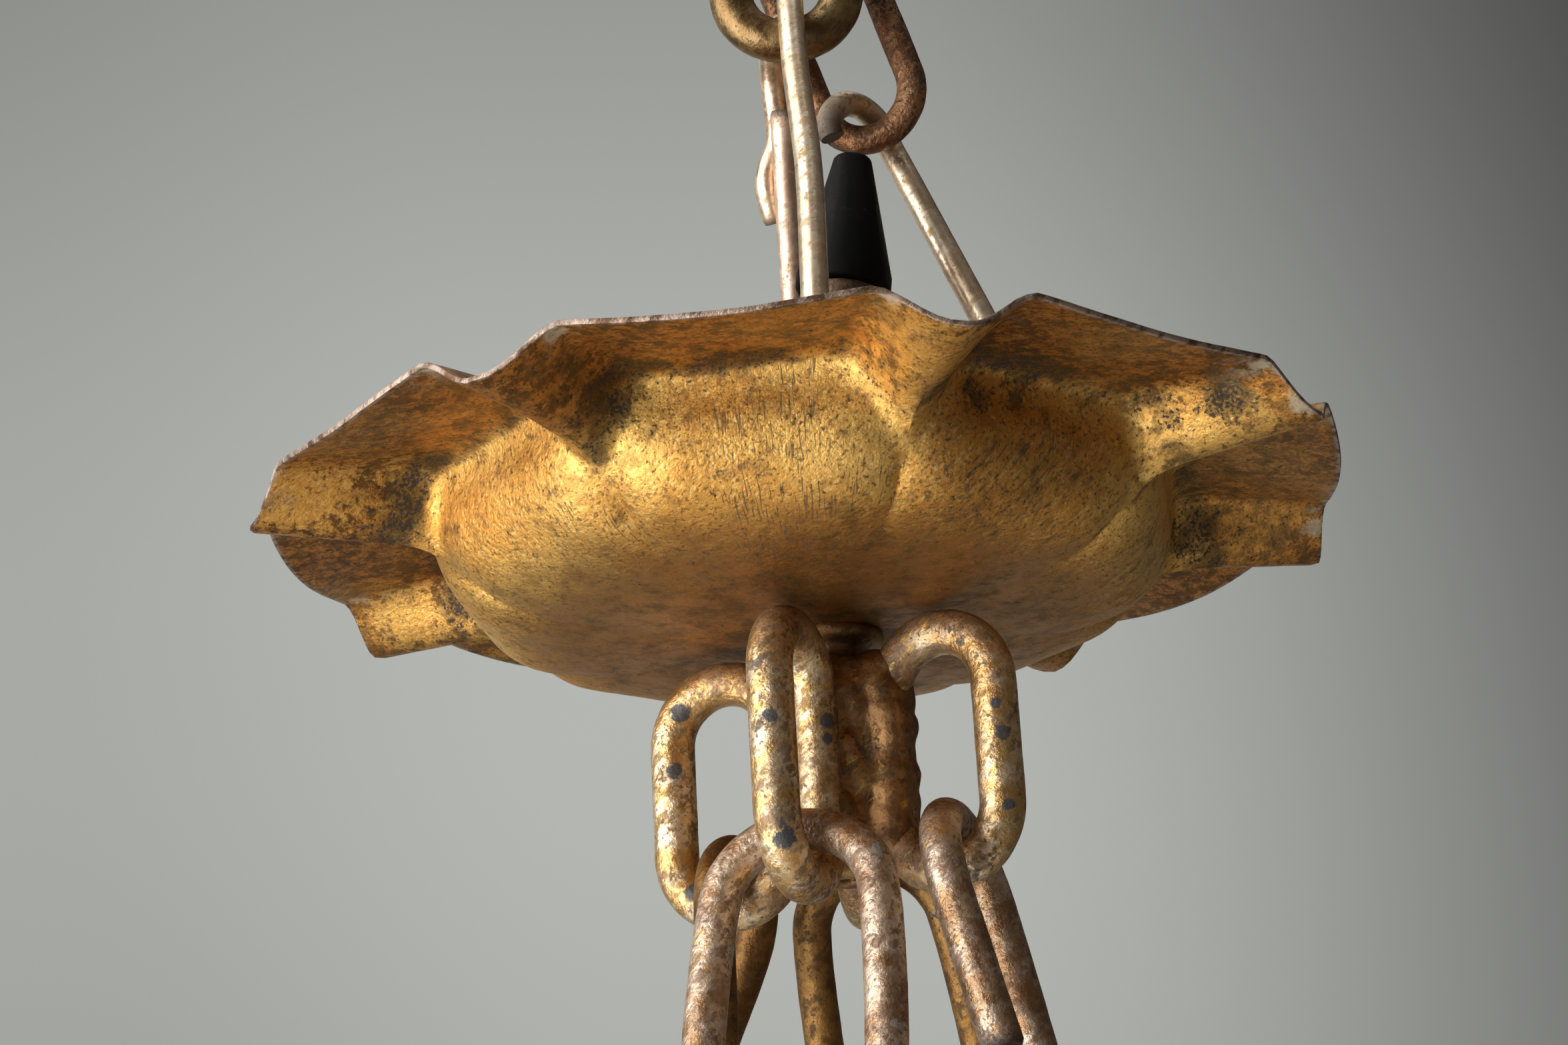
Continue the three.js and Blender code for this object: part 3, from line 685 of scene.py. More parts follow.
def make_dish(finish):
    turns = [PITCH * i / COLUMNS for i in range(COLUMNS + 1)]
    wide = FLOOR_RADIUS - HOLE_RADIUS
    points = []
    for radius in (HOLE_RADIUS + wide * i / HUB_ROWS for i in range(HUB_ROWS)):
        for turn in turns:
            points.append((around(FIRST_PINCH + turn, radius, -DISH_DEPTH),
                           (FLOOR_RADIUS - radius) / wide, -1 + radius / FLOOR_RADIUS, 1, 0))
    for row in np.linspace(0, LAST_ROW, ROWS):
        for turn in turns:
            from_pinch = min(turn, PITCH - turn)
            corner = math.exp(-((from_pinch - CORNER_ANGLE) / PALE_WIDTH) ** 2)
            points.append((dish_point(row, turn), 0, row, from_pinch / (PITCH / 2),
                           corner * math.exp(-((LAST_ROW - row) / PALE_ROWS) ** 2)))
    verts, *values = zip(*points)
    masks = dict(zip(("hub", "row", "pinch", "pale"), values))
    n = len(turns)
    starts = (r * n + i for r in range(HUB_ROWS + ROWS - 1) for i in range(n - 1))
    faces = [(a, a + n, a + n + 1, a + 1) for a in starts]
    obj = new_object("lobed_dish_sheet", np.array(verts) * MM, faces, attributes=masks)
    run_tree(obj, LOBE_TREE, lobes=LOBES, hub_shift=(HUB * MM, 0, 0), place=tuple(SHIFT * MM),
             dent=DISH_DENT * MM, dent_scale=DISH_DENTS, seed=3.7, finish=finish)
    modify(obj, "SOLIDIFY", thickness=SHEET * THINNED * MM, offset=-1, use_even_offset=False)
    ease_edges(obj, 0.18, 50)
    smooth(settle(obj), 40)
    return finish_piece(obj, "crown", "gilt_dish", "lobed_dish")


# Turned pieces, softened copies and lumps of braze
def turned(name, profile, place, finish, sides=48):
    """A closed profile of [radius, height] spun about its own axis."""
    mesh = bmesh.new()
    rings = []
    for radius, height in profile:
        ring = []
        for i in range(sides):
            a = math.tau * i / sides
            point = place @ Vector((radius * math.cos(a), radius * math.sin(a), height))
            ring.append(mesh.verts.new(metres(point)))
        rings.append(ring)
    for ring, other in zip(rings, rings[1:] + rings[:1]):
        for i in range(sides):
            j = (i + 1) % sides
            mesh.faces.new((ring[i], ring[j], other[j], other[i]))
    bmesh.ops.remove_doubles(mesh, verts=mesh.verts[:], dist=1e-7)
    bmesh.ops.dissolve_degenerate(mesh, edges=mesh.edges[:], dist=1e-8)
    bmesh.ops.recalc_face_normals(mesh, faces=mesh.faces[:])
    return object_from(name, mesh, finish)


def softened(name, source, width, finish, slot="dark_iron"):
    """A copy of a part's solid with its edges eased."""
    mesh = bmesh.new()
    mesh.from_mesh(bpy.data.objects[source].data)
    bmesh.ops.remove_doubles(mesh, verts=mesh.verts[:], dist=1e-6)
    bmesh.ops.dissolve_limit(mesh, angle_limit=math.radians(2), verts=mesh.verts[:],
                             edges=mesh.edges[:])
    obj = object_from(name, mesh, finish)
    ease_edges(obj, width, 25)
    smooth(settle(obj), 35)
    return finish_piece(obj, "crown", slot, source)


def braze_tree():
    """Small lumps of braze on the points, each of its own size."""
    tree, given = new_tree("braze_lumps", least=0.0005, most=0.0015, seed=0)
    points = node(tree, "GeometryNodeMeshToPoints", {"Mesh": given["Geometry"]})
    lump = node(tree, "GeometryNodeMeshIcoSphere", {"Radius": 1.0, "Subdivisions": 2})
    size = node(tree, "FunctionNodeRandomValue",
                {"Seed": given["seed"], 2: given["least"], 3: given["most"]}, data_type="FLOAT")
    lumps = node(tree, "GeometryNodeInstanceOnPoints",
                 {"Points": points.outputs[0], "Instance": lump.outputs[0],
                  "Scale": size.outputs[1]})
    return end_tree(tree, lumps.outputs[0], given["finish"])


def lumps(name, points, least, most, seed, finish):
    obj = new_object(name, metres(points))
    run_tree(obj, BRAZE_TREE, least=least * MM, most=most * MM, seed=seed, finish=finish)
    return settle(obj)


def fused(objects, name, voxel, passes):
    """Melt meshes that overlap into one skin."""
    mesh = bmesh.new()
    for obj in objects:
        mesh.from_mesh(obj.data)
    melted = object_from(name, mesh, objects[0].data.materials[0])
    for obj in objects:
        bpy.data.objects.remove(obj)
    modify(melted, "REMESH", mode="VOXEL", voxel_size=voxel * MM)
    modify(melted, "SMOOTH", iterations=passes, factor=0.5)
    smooth(settle(melted))
    return melted


# Finishes: each reads Object coordinates, in metres
def paint(name):
    """A new material, its shader and the places on the piece."""
    material = bpy.data.materials.new(name)
    material.use_nodes = True
    nodes = material.node_tree.nodes
    where = Value(nodes.new("ShaderNodeTexCoord").outputs["Object"])
    return material, nodes["Principled BSDF"], where


def feed(shader, **values):
    for key, value in values.items():
        name = key.replace("_", " ").title()
        value.tree.links.new(value.socket, shader.inputs[name])


def grain(where, scale, seed, detail=4.0, rough=0.55, stretch=None, turn=(0, 0, 0)):
    """Noise, drawn out along its own axes by the factors in stretch."""
    if stretch:
        where = where.made("ShaderNodeMapping", vector_type="TEXTURE",
                           inputs={"Vector": where, "Rotation": turn, "Scale": stretch})
    return where.made("ShaderNodeTexNoise", noise_dimensions="4D",
                      inputs={"Vector": where, "Scale": scale, "W": seed, "Detail": detail,
                              "Roughness": rough})


def share(value, low, high, start=0.0, end=1.0):
    """Start up to low and end from high, with an even way between."""
    return value.made("ShaderNodeMapRange", interpolation_type="SMOOTHSTEP",
                      inputs={"Value": value, "From Min": low, "From Max": high,
                              "To Min": start, "To Max": end})


def blend(amount, first, second):
    first, second = ((*c, 1) if isinstance(c, tuple) else c for c in (first, second))
    return amount.made("ShaderNodeMix", 2, data_type="RGBA",
                       inputs={0: amount, 6: first, 7: second})


def coated(colour, *coats):
    """A colour under coats of (amount, colour), laid one after another."""
    for amount, over in coats:
        colour = blend(amount, colour, over)
    return colour


def mask(where, name):
    return where.made("ShaderNodeAttribute", "Fac", attribute_name=name)


def relief(*layers):
    """Bumps of (height, strength, distance) laid on one another."""
    under = {}
    for height, strength, distance in layers:
        normal = height.made("ShaderNodeBump", inputs={
            "Height": height, "Strength": strength, "Distance": distance, **under})
        under = {"Normal": normal}
    return normal


def from_axis(where, axis):
    """Angle about an upright axis, distance from it and height, with the angle's cut behind."""
    local = where.vectors("SUBTRACT", tuple(metres(axis)))
    parts = node(where.tree, "ShaderNodeSeparateXYZ", {"Vector": local}).outputs
    x, y, z = (Value(part) for part in parts)
    square = x * x + y * y
    return x.maths("ARCTAN2", x, y * -1.0), square.maths("SQRT", square, 0.0), z


def spots(where, ragged, places, soft=0.7):
    """1 within each of the given places, (x, y, z, reach) in mm, with a ragged border."""
    found = None
    for *place, reach in places:
        away = where.vectors("DISTANCE", tuple(metres(place)), "Value")
        one = share(away + ragged * (reach * 4 * MM), reach * (2.9 + soft / 2) * MM,
                    reach * (2.9 - soft / 2) * MM)
        found = found | one if found else one
    return found


SLANT = (0, math.radians(-40), 0)
STEEP = (0, math.radians(-52), 0)

# Where the dish gets painted light on lit patches and painted shade in dark and brown spots, and
# where it is limed, scored and scratched
# painted light: patches made brighter where the dish faces the light
PAINTED_LIGHT_SPOTS = [(-60.5, -21.4, 2.4, 7), (-48.0, -22.0, 1.0, 5), (46.4, -30.1, 0.7, 6),
          (39.2, -26.9, 0.2, 5), (52.0, -31.5, 1.0, 5), (15.0, -60.0, 0.2, 8),
          (12.5, -50.0, -0.5, 6), (-53.8, 26.5, 1.7, 6)]
# painted shade: dark spots where the dish lies in shade, as on the right panel
DARK_SHADE_SPOTS = [(49.8, -34.2, 2.6, 3.5), (-21.1, -44.3, 1.8, 3.0), (20.3, -41.3, 1.0, 2.2),
            (26.0, -40.0, 2.0, 2.5), (50.1, 10.0, 1.4, 4)]
LIMED = [(-26.4, -61.4, 4.1, 1.6), (-40.9, -54.7, 4.0, 2.6), (58.6, -37.0, 0.4, 2.0),
         (66.5, 12.3, 2.3, 1.6)]
SCORED = [(19.4, -38.1, -7.1, 10), (27.0, -34.0, -5.0, 8)]
SCRATCHED = [(-3.2, -40.4, -8.6, 6), (-2.4, -45.2, 0.5, 5), (-3.1, -34.3, -11.0, 5),
             (1.0, -43.0, -4.0, 5)]
# painted shade: brown spots on the right panel, which faces away from the light
BROWN_SHADE_SPOTS = [(19.0, -40.5, -3.0, 8), (27.0, -36.5, -3.0, 8), (33.0, -31.0, -2.0, 7),
          (22.0, -35.0, -9.5, 8)]
EYE_CHIPS = [(-5.3, -24.2, -30.2, 1.1), (-4.4, -23.0, -44.5, 1.3), (-5.0, -23.3, -42.5, 1.0),
             (1.2, -9.6, -26.9, 1.1), (1.1, -9.6, -29.0, 0.9), (-17.5, 5.1, -20.3, 1.1),
             (-18.5, 5.7, -28.1, 1.2), (-16.5, 4.7, -44.0, 1.3)]
RIGHT_EYE_CHIPS = [(21.9, -15.2, -31.0, 1.1), (21.3, -15.2, -27.4, 0.7),
                   (21.9, -15.0, -40.0, 0.8)]

GILT_LIGHT = (0.92, 0.64, 0.24)
# painted light: the brighter gilt of the lit patches
GILT_PALE = (0.78, 0.47, 0.130)
GILT_PAINTED_LIGHT = (0.68, 0.38, 0.092)
GILT_DEEP = (0.66, 0.33, 0.070)
GILT_RUST = (0.42, 0.18, 0.055)
GILT_BROWN = (0.20, 0.105, 0.035)
# flange browns, partly their finish and partly painted shade, as the flanges face down
FLANGE_BROWN_SHADE = (0.50, 0.20, 0.038)
FLANGE_DARK_SHADE = (0.17, 0.073, 0.020)
# floor browns, partly rust and partly painted shade, as the floor faces down
FLOOR_RUST_AND_SHADE = (0.36, 0.165, 0.048)
FLOOR_DARK = (0.19, 0.092, 0.034)
OLIVE = (0.095, 0.066, 0.026)
SOOT = (0.030, 0.018, 0.012)
CHALK = (0.48, 0.44, 0.32)
BARE_EDGE = (0.46, 0.36, 0.30)
RUSTY_EDGE = (0.14, 0.085, 0.055)
BRAZE_BROWN = (0.36, 0.19, 0.085)
BRAZE_DARK = (0.15, 0.080, 0.045)
SLATE = (0.082, 0.080, 0.080)
PALE_SCALE = (0.46, 0.46, 0.46)
DULL_SCALE = (0.20, 0.16, 0.13)
BLACK = (0.0022, 0.0023, 0.0025)
DUST = (0.12, 0.115, 0.105)


def dish_finish():
    """Gilt worn in specks and scratches, brown flanges and a rusty floor that are partly painted
    shade, and painted light and painted shade in patches.
    """
    material, shader, where = paint("worn_gilt_dish")
    row, pinch, pale = (mask(where, key) for key in ("row", "pinch", "pale"))
    angle, far, height = from_axis(where, (0, 0, 0))
    cloud = grain(where, 42, 1.3)
    mottle = grain(where, 230, 5.1, 6, 0.66)
    smear = grain(where, 620, 6.4, 5, 0.62, (2.2, 1.0, 1.0), SLANT)
    grit = grain(where, 1700, 7.7, 3, 0.6, (2.6, 1.0, 1.0), SLANT)
    specks = grain(where, 2100, 2.2, 2)
    fleck = grain(where, 620, 12.6, 6, 0.74)
    bloom = grain(where, 105, 14.2, 6, 0.62)
    painted_light, dark_shade_spots, brown_shade_spots, scored, limed = (
        spots(where, fleck, places) for places in (PAINTED_LIGHT_SPOTS, DARK_SHADE_SPOTS, BROWN_SHADE_SPOTS, SCORED, LIMED))

    colour = coated(
        blend(share(cloud, 0.40, 0.60), GILT_DEEP, GILT_PALE),
        (share(mottle, 0.52, 0.62) * 0.4, GILT_RUST),
        (share(smear, 0.54, 0.64) * 0.35, GILT_BROWN),
        (share(specks, 0.555, 0.62) * 0.7, GILT_BROWN),
        (share(grit, 0.46, 0.36) * 0.5, GILT_LIGHT),
    )

    # Brown flanges and the rusty floor, both partly painted shade where the dish faces down, and
    # painted shade round the stem
    flange = share(row + mottle * 2.4, 7.9, 9.2)
    # painted light: the flange brown gives way on the lit patches
    kept = share(cloud, 0.42, 0.60, 1.0, 0.75) * share(painted_light, 0.0, 1.0, 1.0, 0.12)
    brown = coated(
        blend(share(mottle * 0.3 + fleck * 0.7, 0.46, 0.55), FLANGE_BROWN_SHADE, FLANGE_DARK_SHADE),
        (share(fleck, 0.46, 0.38) * 0.5, GILT_DEEP),
        (share(specks, 0.54, 0.60) * 0.7, OLIVE),
    )
    # the floor and lower wall: partly rust, partly painted shade where they face down
    low = share(row + mottle * 3.0, 4.9, 3.2)
    under = blend(share(mottle * 0.5 + fleck * 0.5, 0.44, 0.58), FLOOR_RUST_AND_SHADE, FLOOR_DARK)
    # painted shade: darker olive round the stem, under the dish
    round_stem_shade = share(far + mottle * 0.03, 0.040, 0.022) * share(mottle, 0.42, 0.60)

    # Dirt and painted shade in the folds and corners, and slanting scores and upright scratches on
    # the walls
    fold = share(row, 6.3, 7.5) * share(row, 9.0, 7.7) * share(cloud, 0.62, 0.42, 0.35, 1.0)
    corner = (share(pinch, 0.42, 0.12) * share(row, 4.8, 6.2) * share(row, 9.2, 7.6)
              * share(cloud, 0.45, 0.60) * share(painted_light, 0.0, 0.5, 0.6, 0.0))
    # painted shade: the fold, the pinch corners and the dark spots, where shade falls
    shade = fold | corner | dark_shade_spots
    stain_and_shade = share(shade * 0.20 + mottle * 0.5 + smear * 0.5, 0.50, 0.68)
    ragged = share(shade * 0.12 + specks * 0.6 + smear * 0.4, 0.60, 0.66)
    worked = (share(grain(where, 70, 3.6), 0.50, 0.60, 0.0, 0.5) * share(row, 2.0, 3.0)
              * share(row, 6.2, 5.2)) | spots(where, mottle, SCRATCHED)
    sheet = where.made("ShaderNodeCombineXYZ",
                       inputs={"X": angle * 0.045 + mottle * 0.0006, "Y": far, "Z": height})
    scratch = grain(sheet, 3200, 9.4, 2, 0.6, (1.0, 12.0, 12.0))
    score = grain(where, 1500, 19.4, 2, 0.6, (14.0, 1.0, 1.0), STEEP)
    marks = (share(scratch + worked * 0.05, 0.61, 0.66) * share(worked, 0.0, 0.4)
             | share(score, 0.56, 0.61) * scored)
    chalk = pale * share(mottle, 0.48, 0.60) | limed * 0.8
    bare = blend(share(smear, 0.45, 0.6), BARE_EDGE, RUSTY_EDGE)

    colour = coated(
        colour,
        # partly painted shade: the downward-facing flanges browned
        (flange * kept, brown),
        # painted shade: the right panel browned
        (brown_shade_spots * share(mottle, 0.62, 0.40, 0.1, 0.6), brown),
        # painted light: brighter gilt on the lit patches
        (painted_light * share(fleck, 0.53, 0.46) * 0.45, GILT_PAINTED_LIGHT),
        # partly painted shade: floor and lower wall darker and redder
        (low * 0.85, under),
        # painted shade round the stem
        (round_stem_shade * 0.75, OLIVE),
        # stains and dark specks, partly painted shade from the folds and corners
        (stain_and_shade * 0.72, OLIVE),
        (ragged * 0.85, SOOT),
        (share(bloom, 0.585, 0.645) * 0.35, OLIVE),
        (marks * 0.7, SOOT),
        (chalk * 0.85, CHALK),
        (share(row, 9.90, 9.98) * 0.9, bare),
    )
    dark = ragged | marks
    feed(shader, base_color=colour, metallic=0.90 - (chalk | dark) * 0.6,
         roughness=share(mottle, 0.35, 0.65, 0.42, 0.55) + dark * 0.2 + chalk * 0.3,
         normal=relief((mottle, 0.35, 0.0008), (fleck, 0.45, 0.00022), (grit, 0.75, 0.0002),
                       (dark, -0.4, 0.00008)))
    return material


def wire_finish(name, colours, seed, gilded=0.4, rough=(0.32, 0.46), chips=0.5, coarse=1.0,
                wear=0.0, stem=0.0, struck=()):
    """Gilding worn down to brown iron, with slanting wear, dark specks and chips.

    The braze has run over what lies within stem mm of the stem's axis, and near the dish.
    """
    bright, middle, dark, gold, chip = colours
    material, shader, where = paint(name)
    soot = mask(where, "soot")
    cloud = grain(where, 110, seed)
    mottle = grain(where, 380, seed + 3, 6, 0.65)
    streak = grain(where, 950, seed + 4, 4, 0.62, (3.0, 1.0, 1.0), SLANT)
    specks = grain(where, 1700, seed + 5, 2)
    bloom = grain(where, 170, seed + 8, 4, 0.55)
    flakes = share(streak * 0.6 + cloud * 0.4, 0.62 - 0.2 * gilded, 0.68 - 0.2 * gilded)
    worn = share(mottle * 0.55 + streak * 0.45, 0.515 - wear, 0.60 - wear)
    pits = share(specks * 0.6 + bloom * 0.4, 0.575 - wear, 0.62 - wear)
    chipped = share(bloom, 0.63, 0.645) * chips
    if struck:
        chipped = chipped | spots(where, mottle, struck, 0.3)
    bare = worn * 0.45
    colour = coated(blend(share(cloud * 0.5 + mottle * 0.5, 0.43, 0.57), middle, bright),
                    (flakes * 0.9, gold), (worn * 0.75, dark))
    if stem:
        angle, far, height = from_axis(where, (HUB, 0, 0))
        near = share(far + mottle * 0.006, stem * MM, (stem - 3.5) * MM)
        top = share(height + mottle * 0.008, -0.0155, -0.0105)
        brazed = (near | top) * share(streak, 0.60, 0.52)
        braze = blend(share(mottle, 0.44, 0.56), BRAZE_DARK, BRAZE_BROWN)
        colour = blend(brazed * 0.85, colour, braze)
        bare = bare | brazed * 0.6
    colour = coated(colour, (pits * 0.8, dark), (chipped, chip), (soot * 0.9, SOOT))
    feed(shader, base_color=colour, metallic=0.93 - (chipped | pits | soot | bare) * 0.7,
         roughness=share(mottle, 0.35, 0.65, *rough) + pits * 0.15 + bare * 0.2 + soot * 0.3,
         normal=relief((mottle, 0.55 * coarse, 0.0006), (streak, 0.6 * coarse, 0.0002),
                       (chipped, -0.6, 0.00012)))
    return material


def cap_finish():
    material, shader, where = paint("matte_black_cap")
    dust = grain(where, 320, 4.4, 6, 0.7)
    height = where.made("ShaderNodeSeparateXYZ", "Z", inputs={"Vector": where})
    top = share(height, (SHIFT[2] + 38) * MM, (SHIFT[2] + 45) * MM)
    shader.inputs["Specular IOR Level"].default_value = 0.12
    feed(shader, base_color=blend(share(dust, 0.54, 0.74) * top * 0.25, BLACK, DUST),
         roughness=share(dust, 0.3, 0.7, 0.5, 0.65), normal=relief((dust, 0.2, 0.0001)))
    return material


# Colours of wire: bright, middle, dark, gold and chipped
EYE_COLOURS = ((0.88, 0.72, 0.50), (0.64, 0.39, 0.150), (0.12, 0.064, 0.030),
               (0.84, 0.55, 0.17), SLATE)
LINK_COLOURS = ((0.77, 0.64, 0.51), (0.38, 0.220, 0.112), (0.17, 0.085, 0.045),
                (0.80, 0.54, 0.24), PALE_SCALE)
# painted shade: darker colours for the back and left links, which lie in shade
PAINTED_SHADE_COLOURS = ((0.34, 0.19, 0.060), (0.17, 0.085, 0.030), (0.050, 0.024, 0.012),
                  (0.40, 0.22, 0.060), SLATE)
ROD_COLOURS = ((0.92, 0.78, 0.60), (0.82, 0.62, 0.42), (0.46, 0.29, 0.15),
               (0.86, 0.64, 0.32), DULL_SCALE)
BACK_COLOURS = ((0.84, 0.64, 0.50), (0.66, 0.47, 0.35), (0.40, 0.25, 0.16),
                (0.80, 0.56, 0.30), DULL_SCALE)
SIDE_COLOURS = ((0.42, 0.23, 0.12), (0.20, 0.088, 0.040), (0.050, 0.022, 0.012),
                (0.62, 0.38, 0.16), SLATE)
TOP_COLOURS = ((0.36, 0.25, 0.115), (0.19, 0.11, 0.045), (0.045, 0.025, 0.013),
               (0.42, 0.27, 0.09), SLATE)
STEM_COLOURS = ((0.44, 0.25, 0.105), (0.22, 0.12, 0.055), (0.060, 0.034, 0.018),
                (0.80, 0.50, 0.16), SLATE)
STRAP_COLOURS = ((0.26, 0.17, 0.11), (0.15, 0.090, 0.058), (0.045, 0.028, 0.020),
                 (0.45, 0.28, 0.11), SLATE)

DISH_GILT = dish_finish()
EYE_GILT = wire_finish("eye_gilt", EYE_COLOURS, 2.0, 0.45, (0.28, 0.42), 0.65, 1.3, 0.032,
                       stem=14.5, struck=EYE_CHIPS)
RIGHT_GILT = wire_finish("right_eye_gilt", EYE_COLOURS, 61.0, 0.45, (0.28, 0.42), 0.65, 1.3, 0.02,
                         stem=18.5, struck=RIGHT_EYE_CHIPS)
LINK_IRON = wire_finish("rust_gilt_link", LINK_COLOURS, 11.0, 0.35, (0.34, 0.48), 0.5, 1.4, 0.03)
PAINTED_SHADE_LINK = wire_finish("painted_shade_gilt_link", PAINTED_SHADE_COLOURS, 15.0, 0.1, (0.40, 0.55), 0.3)
ROD_GILT = wire_finish("pale_gilt_rod", ROD_COLOURS, 23.0, 0.35, (0.26, 0.38), 0.3, 0.3)
BACK_GILT = wire_finish("pinkish_back_rod", BACK_COLOURS, 27.0, 0.2, (0.44, 0.58), 0.3, 0.3)
SIDE_IRON = wire_finish("rust_side_link", SIDE_COLOURS, 31.0, 0.3, (0.42, 0.6), 0.4, 2.2, 0.03)
TOP_GILT = wire_finish("top_link_gilt", TOP_COLOURS, 41.0, 0.3, (0.32, 0.48), 0.4, 0.7)
STEM_IRON = wire_finish("brazed_stem", STEM_COLOURS, 53.0, 0.33, (0.38, 0.56))
STRAP_IRON = wire_finish("strap_iron", STRAP_COLOURS, 61.0, 0.1, (0.45, 0.65))
CAP_BLACK = cap_finish()
LOBE_TREE = lobe_tree()
BRAZE_TREE = braze_tree()


# The pieces
def stem_profile():
    outer = STEM_RADIUS - 0.15
    return [
        (STEM_BORE, STUD_TOP), (STUD_RADIUS - 0.4, STUD_TOP), (STUD_RADIUS, STUD_TOP - 0.4),
        (STUD_RADIUS, COLLAR_TOP), (COLLAR_RADIUS - 0.5, COLLAR_TOP),
        (COLLAR_RADIUS, COLLAR_TOP - 0.5), (COLLAR_RADIUS, COLLAR_FOOT + 0.6),
        (COLLAR_RADIUS - 0.7, COLLAR_FOOT), (outer, COLLAR_FOOT - 0.3), (outer, STEM_FOOT + 0.7),
        (outer - 0.7, STEM_FOOT), (STEM_BORE, STEM_FOOT),
    ]


def braze_points(azimuth, drop, length, count, spread, least, most, seed):
    """Points scattered up and down the stem at one side of it."""
    top = -DISH_DEPTH - TOUCH - drop - EYE_WIDTH / 2 + 5
    foot = top - (length - EYE_WIDTH) - 8
    draw = np.random.default_rng(seed)
    points = []
    for i in range(count):
        far = STEM_RADIUS + draw.uniform(least, most)
        swing = draw.uniform(-spread, spread)
        height = top + (foot - top) * (i + draw.uniform(0, 1)) / count
        points.append(around(azimuth, far) + around(azimuth + 90, swing) + (HUB, 0, height))
    return np.array(points)


def brazed_stem():
    """The stem, with a fillet of braze at each eye and more beside the right one."""
    braze = [turned("stem_core", stem_profile(), Matrix.Translation((HUB, 0, 0)), STEM_IRON)]
    for number, (side, e) in enumerate(EYES.items()):
        seam = braze_points(e["azimuth"], e["drop"], e["length"], 70, 2.2, 0.0, 1.0, number + 5)
        braze.append(lumps(side + "_fillet", seam, 1.5, 2.1, number, STEM_IRON))
    e = EYES["right"]
    mass = braze_points(e["azimuth"], e["drop"], e["length"], 150, 1.6, 0.6, 4.2, 21)
    braze.append(lumps("right_mass", mass, 2.2, 2.7, 9, STEM_IRON))
    mass = braze_points(e["azimuth"] - 38, 1, 33, 150, 3.2, -1.0, 1.6, 22)
    braze.append(lumps("middle_mass", mass, 2.0, 2.6, 10, STEM_IRON))
    stem = fused(braze, "center_stem_brazed", voxel=0.3, passes=26)
    return finish_piece(stem, "crown", "dark_iron", "center_stem")


def rod_head(name, azimuth, toward):
    foot, along = rod_foot(azimuth, toward)
    turn = Vector((0, 0, 1)).rotation_difference(Vector(along)).to_matrix().to_4x4()
    r, t = HEAD_RADIUS, HEAD_THICK
    profile = [(0, 0.15), (r * 0.55, 0.0), (r * 0.9, 0.35), (r, 0.9), (r, t - 0.4),
               (r - 0.4, t), (0, t)]
    head = turned(name, profile, Matrix.Translation(foot) @ turn, ROD_GILT, 40)
    smooth(head, 40)
    return finish_piece(head, "crown", "pale_gilt")


make_dish(DISH_GILT)
for number, side in enumerate(EYES):
    wire(side + "_eye", eye_path(side), EYE_WIRE, True,
         RIGHT_GILT if side == "right" else EYE_GILT, number + 1, "gilt_eye")
    # the back and left links get painted shade
    wire(side + "_link", link_path(side), LINK_WIRE - LINK_SLACK, False,
         PAINTED_SHADE_LINK if side in ("back", "left") else LINK_IRON, number + 7, "rusty_gilt",
         side + "_link_body")
brazed_stem()
for strap in ("strap_left_right", "strap_front_back"):
    softened(strap + "_bar", strap, 0.45, STRAP_IRON)
softened("stem_nut_hex", "stem_nut", 0.4, STRAP_IRON)
softened("wiring_tube_pipe", "wiring_tube", 0.2, STRAP_IRON)
wire("bail_rod", bail_path(), ROD_WIRE, False, ROD_GILT, 21, dent=0.08, soot_ends=(0, 1))
wire("back_rod", back_rod_path(), ROD_WIRE, False, BACK_GILT, 22, dent=0.08)
wire("side_rod", side_rod_path(), ROD_WIRE, False, ROD_GILT, 23, dent=0.08, soot_reach=9.0)
rod_head("bail_rod_head", 0, bail_hook()[0])
rod_head("back_rod_head", 180, BACK_ROD_TOP)
rod_head("side_rod_head", 90, side_hook()[0])
wire("top_link", top_link_path(), TOP_LINK_WIRE, True, TOP_GILT, 31, "gilt_eye")
wire("side_link", side_link_path(), SIDE_LINK_WIRE, True, SIDE_IRON, 32, "rusty_gilt", dent=0.18)
wire("suspension_ring", ring_path(), RING_WIRE, True, TOP_GILT, 33, "gilt_eye", "ring")
softened("black_cap_shell", "black_cap", 0.5, CAP_BLACK, "black_cap")


# Lamps, backdrop and floor
def lamp(name, place, target, size, power):
    data = bpy.data.lights.new(name, "AREA")
    data.shape = "RECTANGLE"
    data.size, data.size_y = size
    data.energy = power
    data.color = DAYLIGHT
    obj = add(name, data)
    obj.location = place
    obj.visible_camera = False
    ahead = (Vector(target) - Vector(place)).normalized()
    obj.rotation_euler = ahead.to_track_quat("-Z", "Y").to_euler()


DAYLIGHT = (1.0, 0.985, 0.96)
MIDDLE = (0.0, 0.0, -0.13)
lamp("window_left", (-0.86, -0.47, -0.32), MIDDLE, (1.1, 1.15), 18.5)
lamp("soft_below", (-0.1, -0.1, -0.80), MIDDLE, (0.9, 0.9), 0.6)
lamp("soft_top", (0.0, 0.1, 0.75), MIDDLE, (0.7, 0.7), 1.5)
lamp("window_high", (-0.75, -0.24, 0.62), (0.0, 0.0, 0.06), (1.1, 1.1), 9.0)


BACK_DISTANCE = 1.6
WALL_GREY = (0.461, 0.470, 0.443)
# Shares of the wall's light left at its four sides, and how far each shade reaches, in metres
# from the middle of the view
LEFT_SHADE, LEFT_REACH = 0.85, (-0.12, -0.43)
RIGHT_SHADE, RIGHT_REACH = 0.17, (0.02, 0.59)
TOP_SHADE, TOP_REACH = 0.60, (-0.06, 0.42)
FOOT_SHADE, FOOT_REACH = 0.88, (-0.11, -0.43)
SHADE_SLANT = 0.20


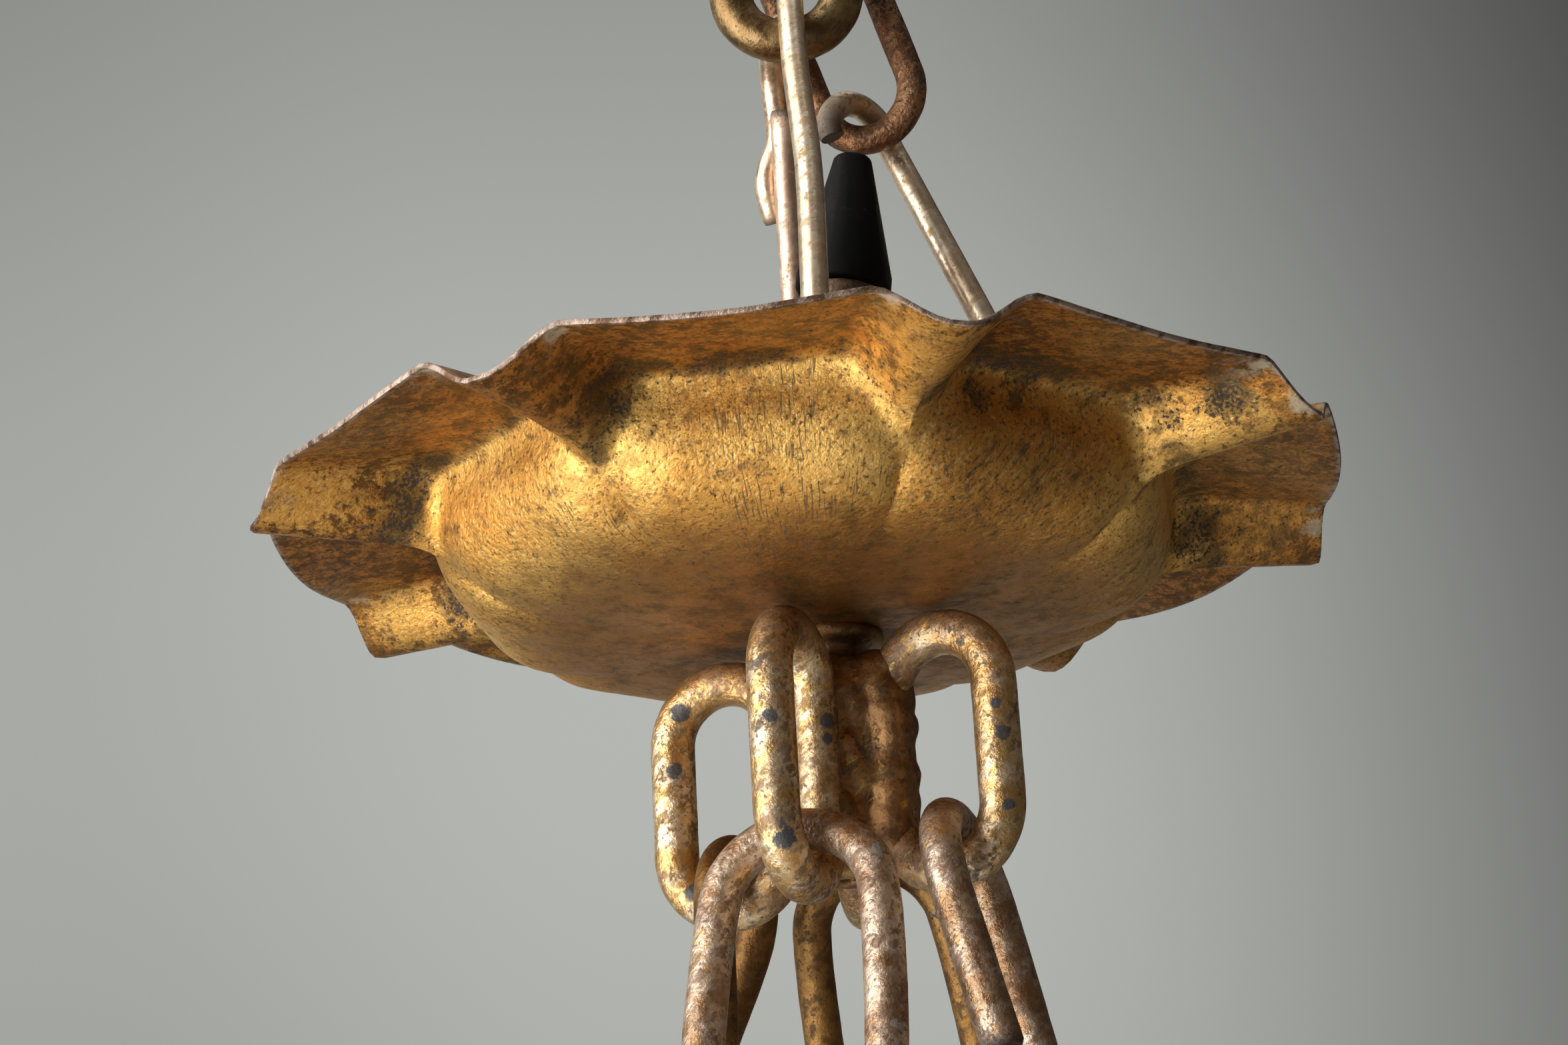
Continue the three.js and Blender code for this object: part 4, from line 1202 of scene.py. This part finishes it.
def backdrop():
    """Grey wall square to the view, palest below its middle and darkest at the right."""
    middle = metres(EYE) + np.array(EYE_AHEAD) * BACK_DISTANCE
    right, rise = np.array(EYE_RIGHT), np.array(EYE_UP)
    corners = [middle + right * x + rise * z
               for x, z in ((-1.5, -1.1), (1.5, -1.1), (1.5, 1.1), (-1.5, 1.1))]
    obj = new_object("backdrop", corners, [(0, 1, 2, 3)])
    material, shader, where = paint("backdrop_grey")
    nodes = where.tree.nodes
    nodes.remove(shader)
    centre = where.vectors("SUBTRACT", tuple(middle))
    up = centre.vectors("DOT_PRODUCT", tuple(rise), "Value")
    aside = centre.vectors("DOT_PRODUCT", tuple(right), "Value") + up * SHADE_SLANT
    light = (share(aside, *LEFT_REACH, 1.0, LEFT_SHADE)
             * share(aside, *RIGHT_REACH, 1.0, RIGHT_SHADE)
             * share(up, *TOP_REACH, 1.0, TOP_SHADE) * share(up, *FOOT_REACH, 1.0, FOOT_SHADE))
    colour = blend(light, (0.0, 0.0, 0.0), WALL_GREY)
    path = nodes.new("ShaderNodeLightPath").outputs
    seen = Value(path["Is Camera Ray"]) | path["Is Glossy Ray"] | path["Is Transmission Ray"]
    glow = colour.made("ShaderNodeEmission", inputs={"Color": colour, "Strength": seen})
    glow.tree.links.new(glow.socket, nodes["Material Output"].inputs["Surface"])
    obj.data.materials.append(material)


FLOOR_LEVEL = -0.95
FLOOR_GREY = (0.60, 0.60, 0.59, 1)
ROOM = (0.100, 0.088, 0.075, 1)


def floor():
    corners = [(x, y, FLOOR_LEVEL) for x, y in ((-3, -3), (3, -3), (3, 3), (-3, 3))]
    obj = new_object("floor", corners, [(0, 1, 2, 3)])
    material, shader, where = paint("pale_floor")
    shader.inputs["Base Color"].default_value = FLOOR_GREY
    shader.inputs["Roughness"].default_value = 0.8
    obj.data.materials.append(material)


def surroundings():
    world = bpy.data.worlds.new("room")
    bpy.context.scene.world = world
    world.use_nodes = True
    glow = world.node_tree.nodes["Background"]
    glow.inputs["Color"].default_value = ROOM
    glow.inputs["Strength"].default_value = 1.0


backdrop()
floor()
surroundings()
bpy.context.scene.view_settings.view_transform = "Standard"
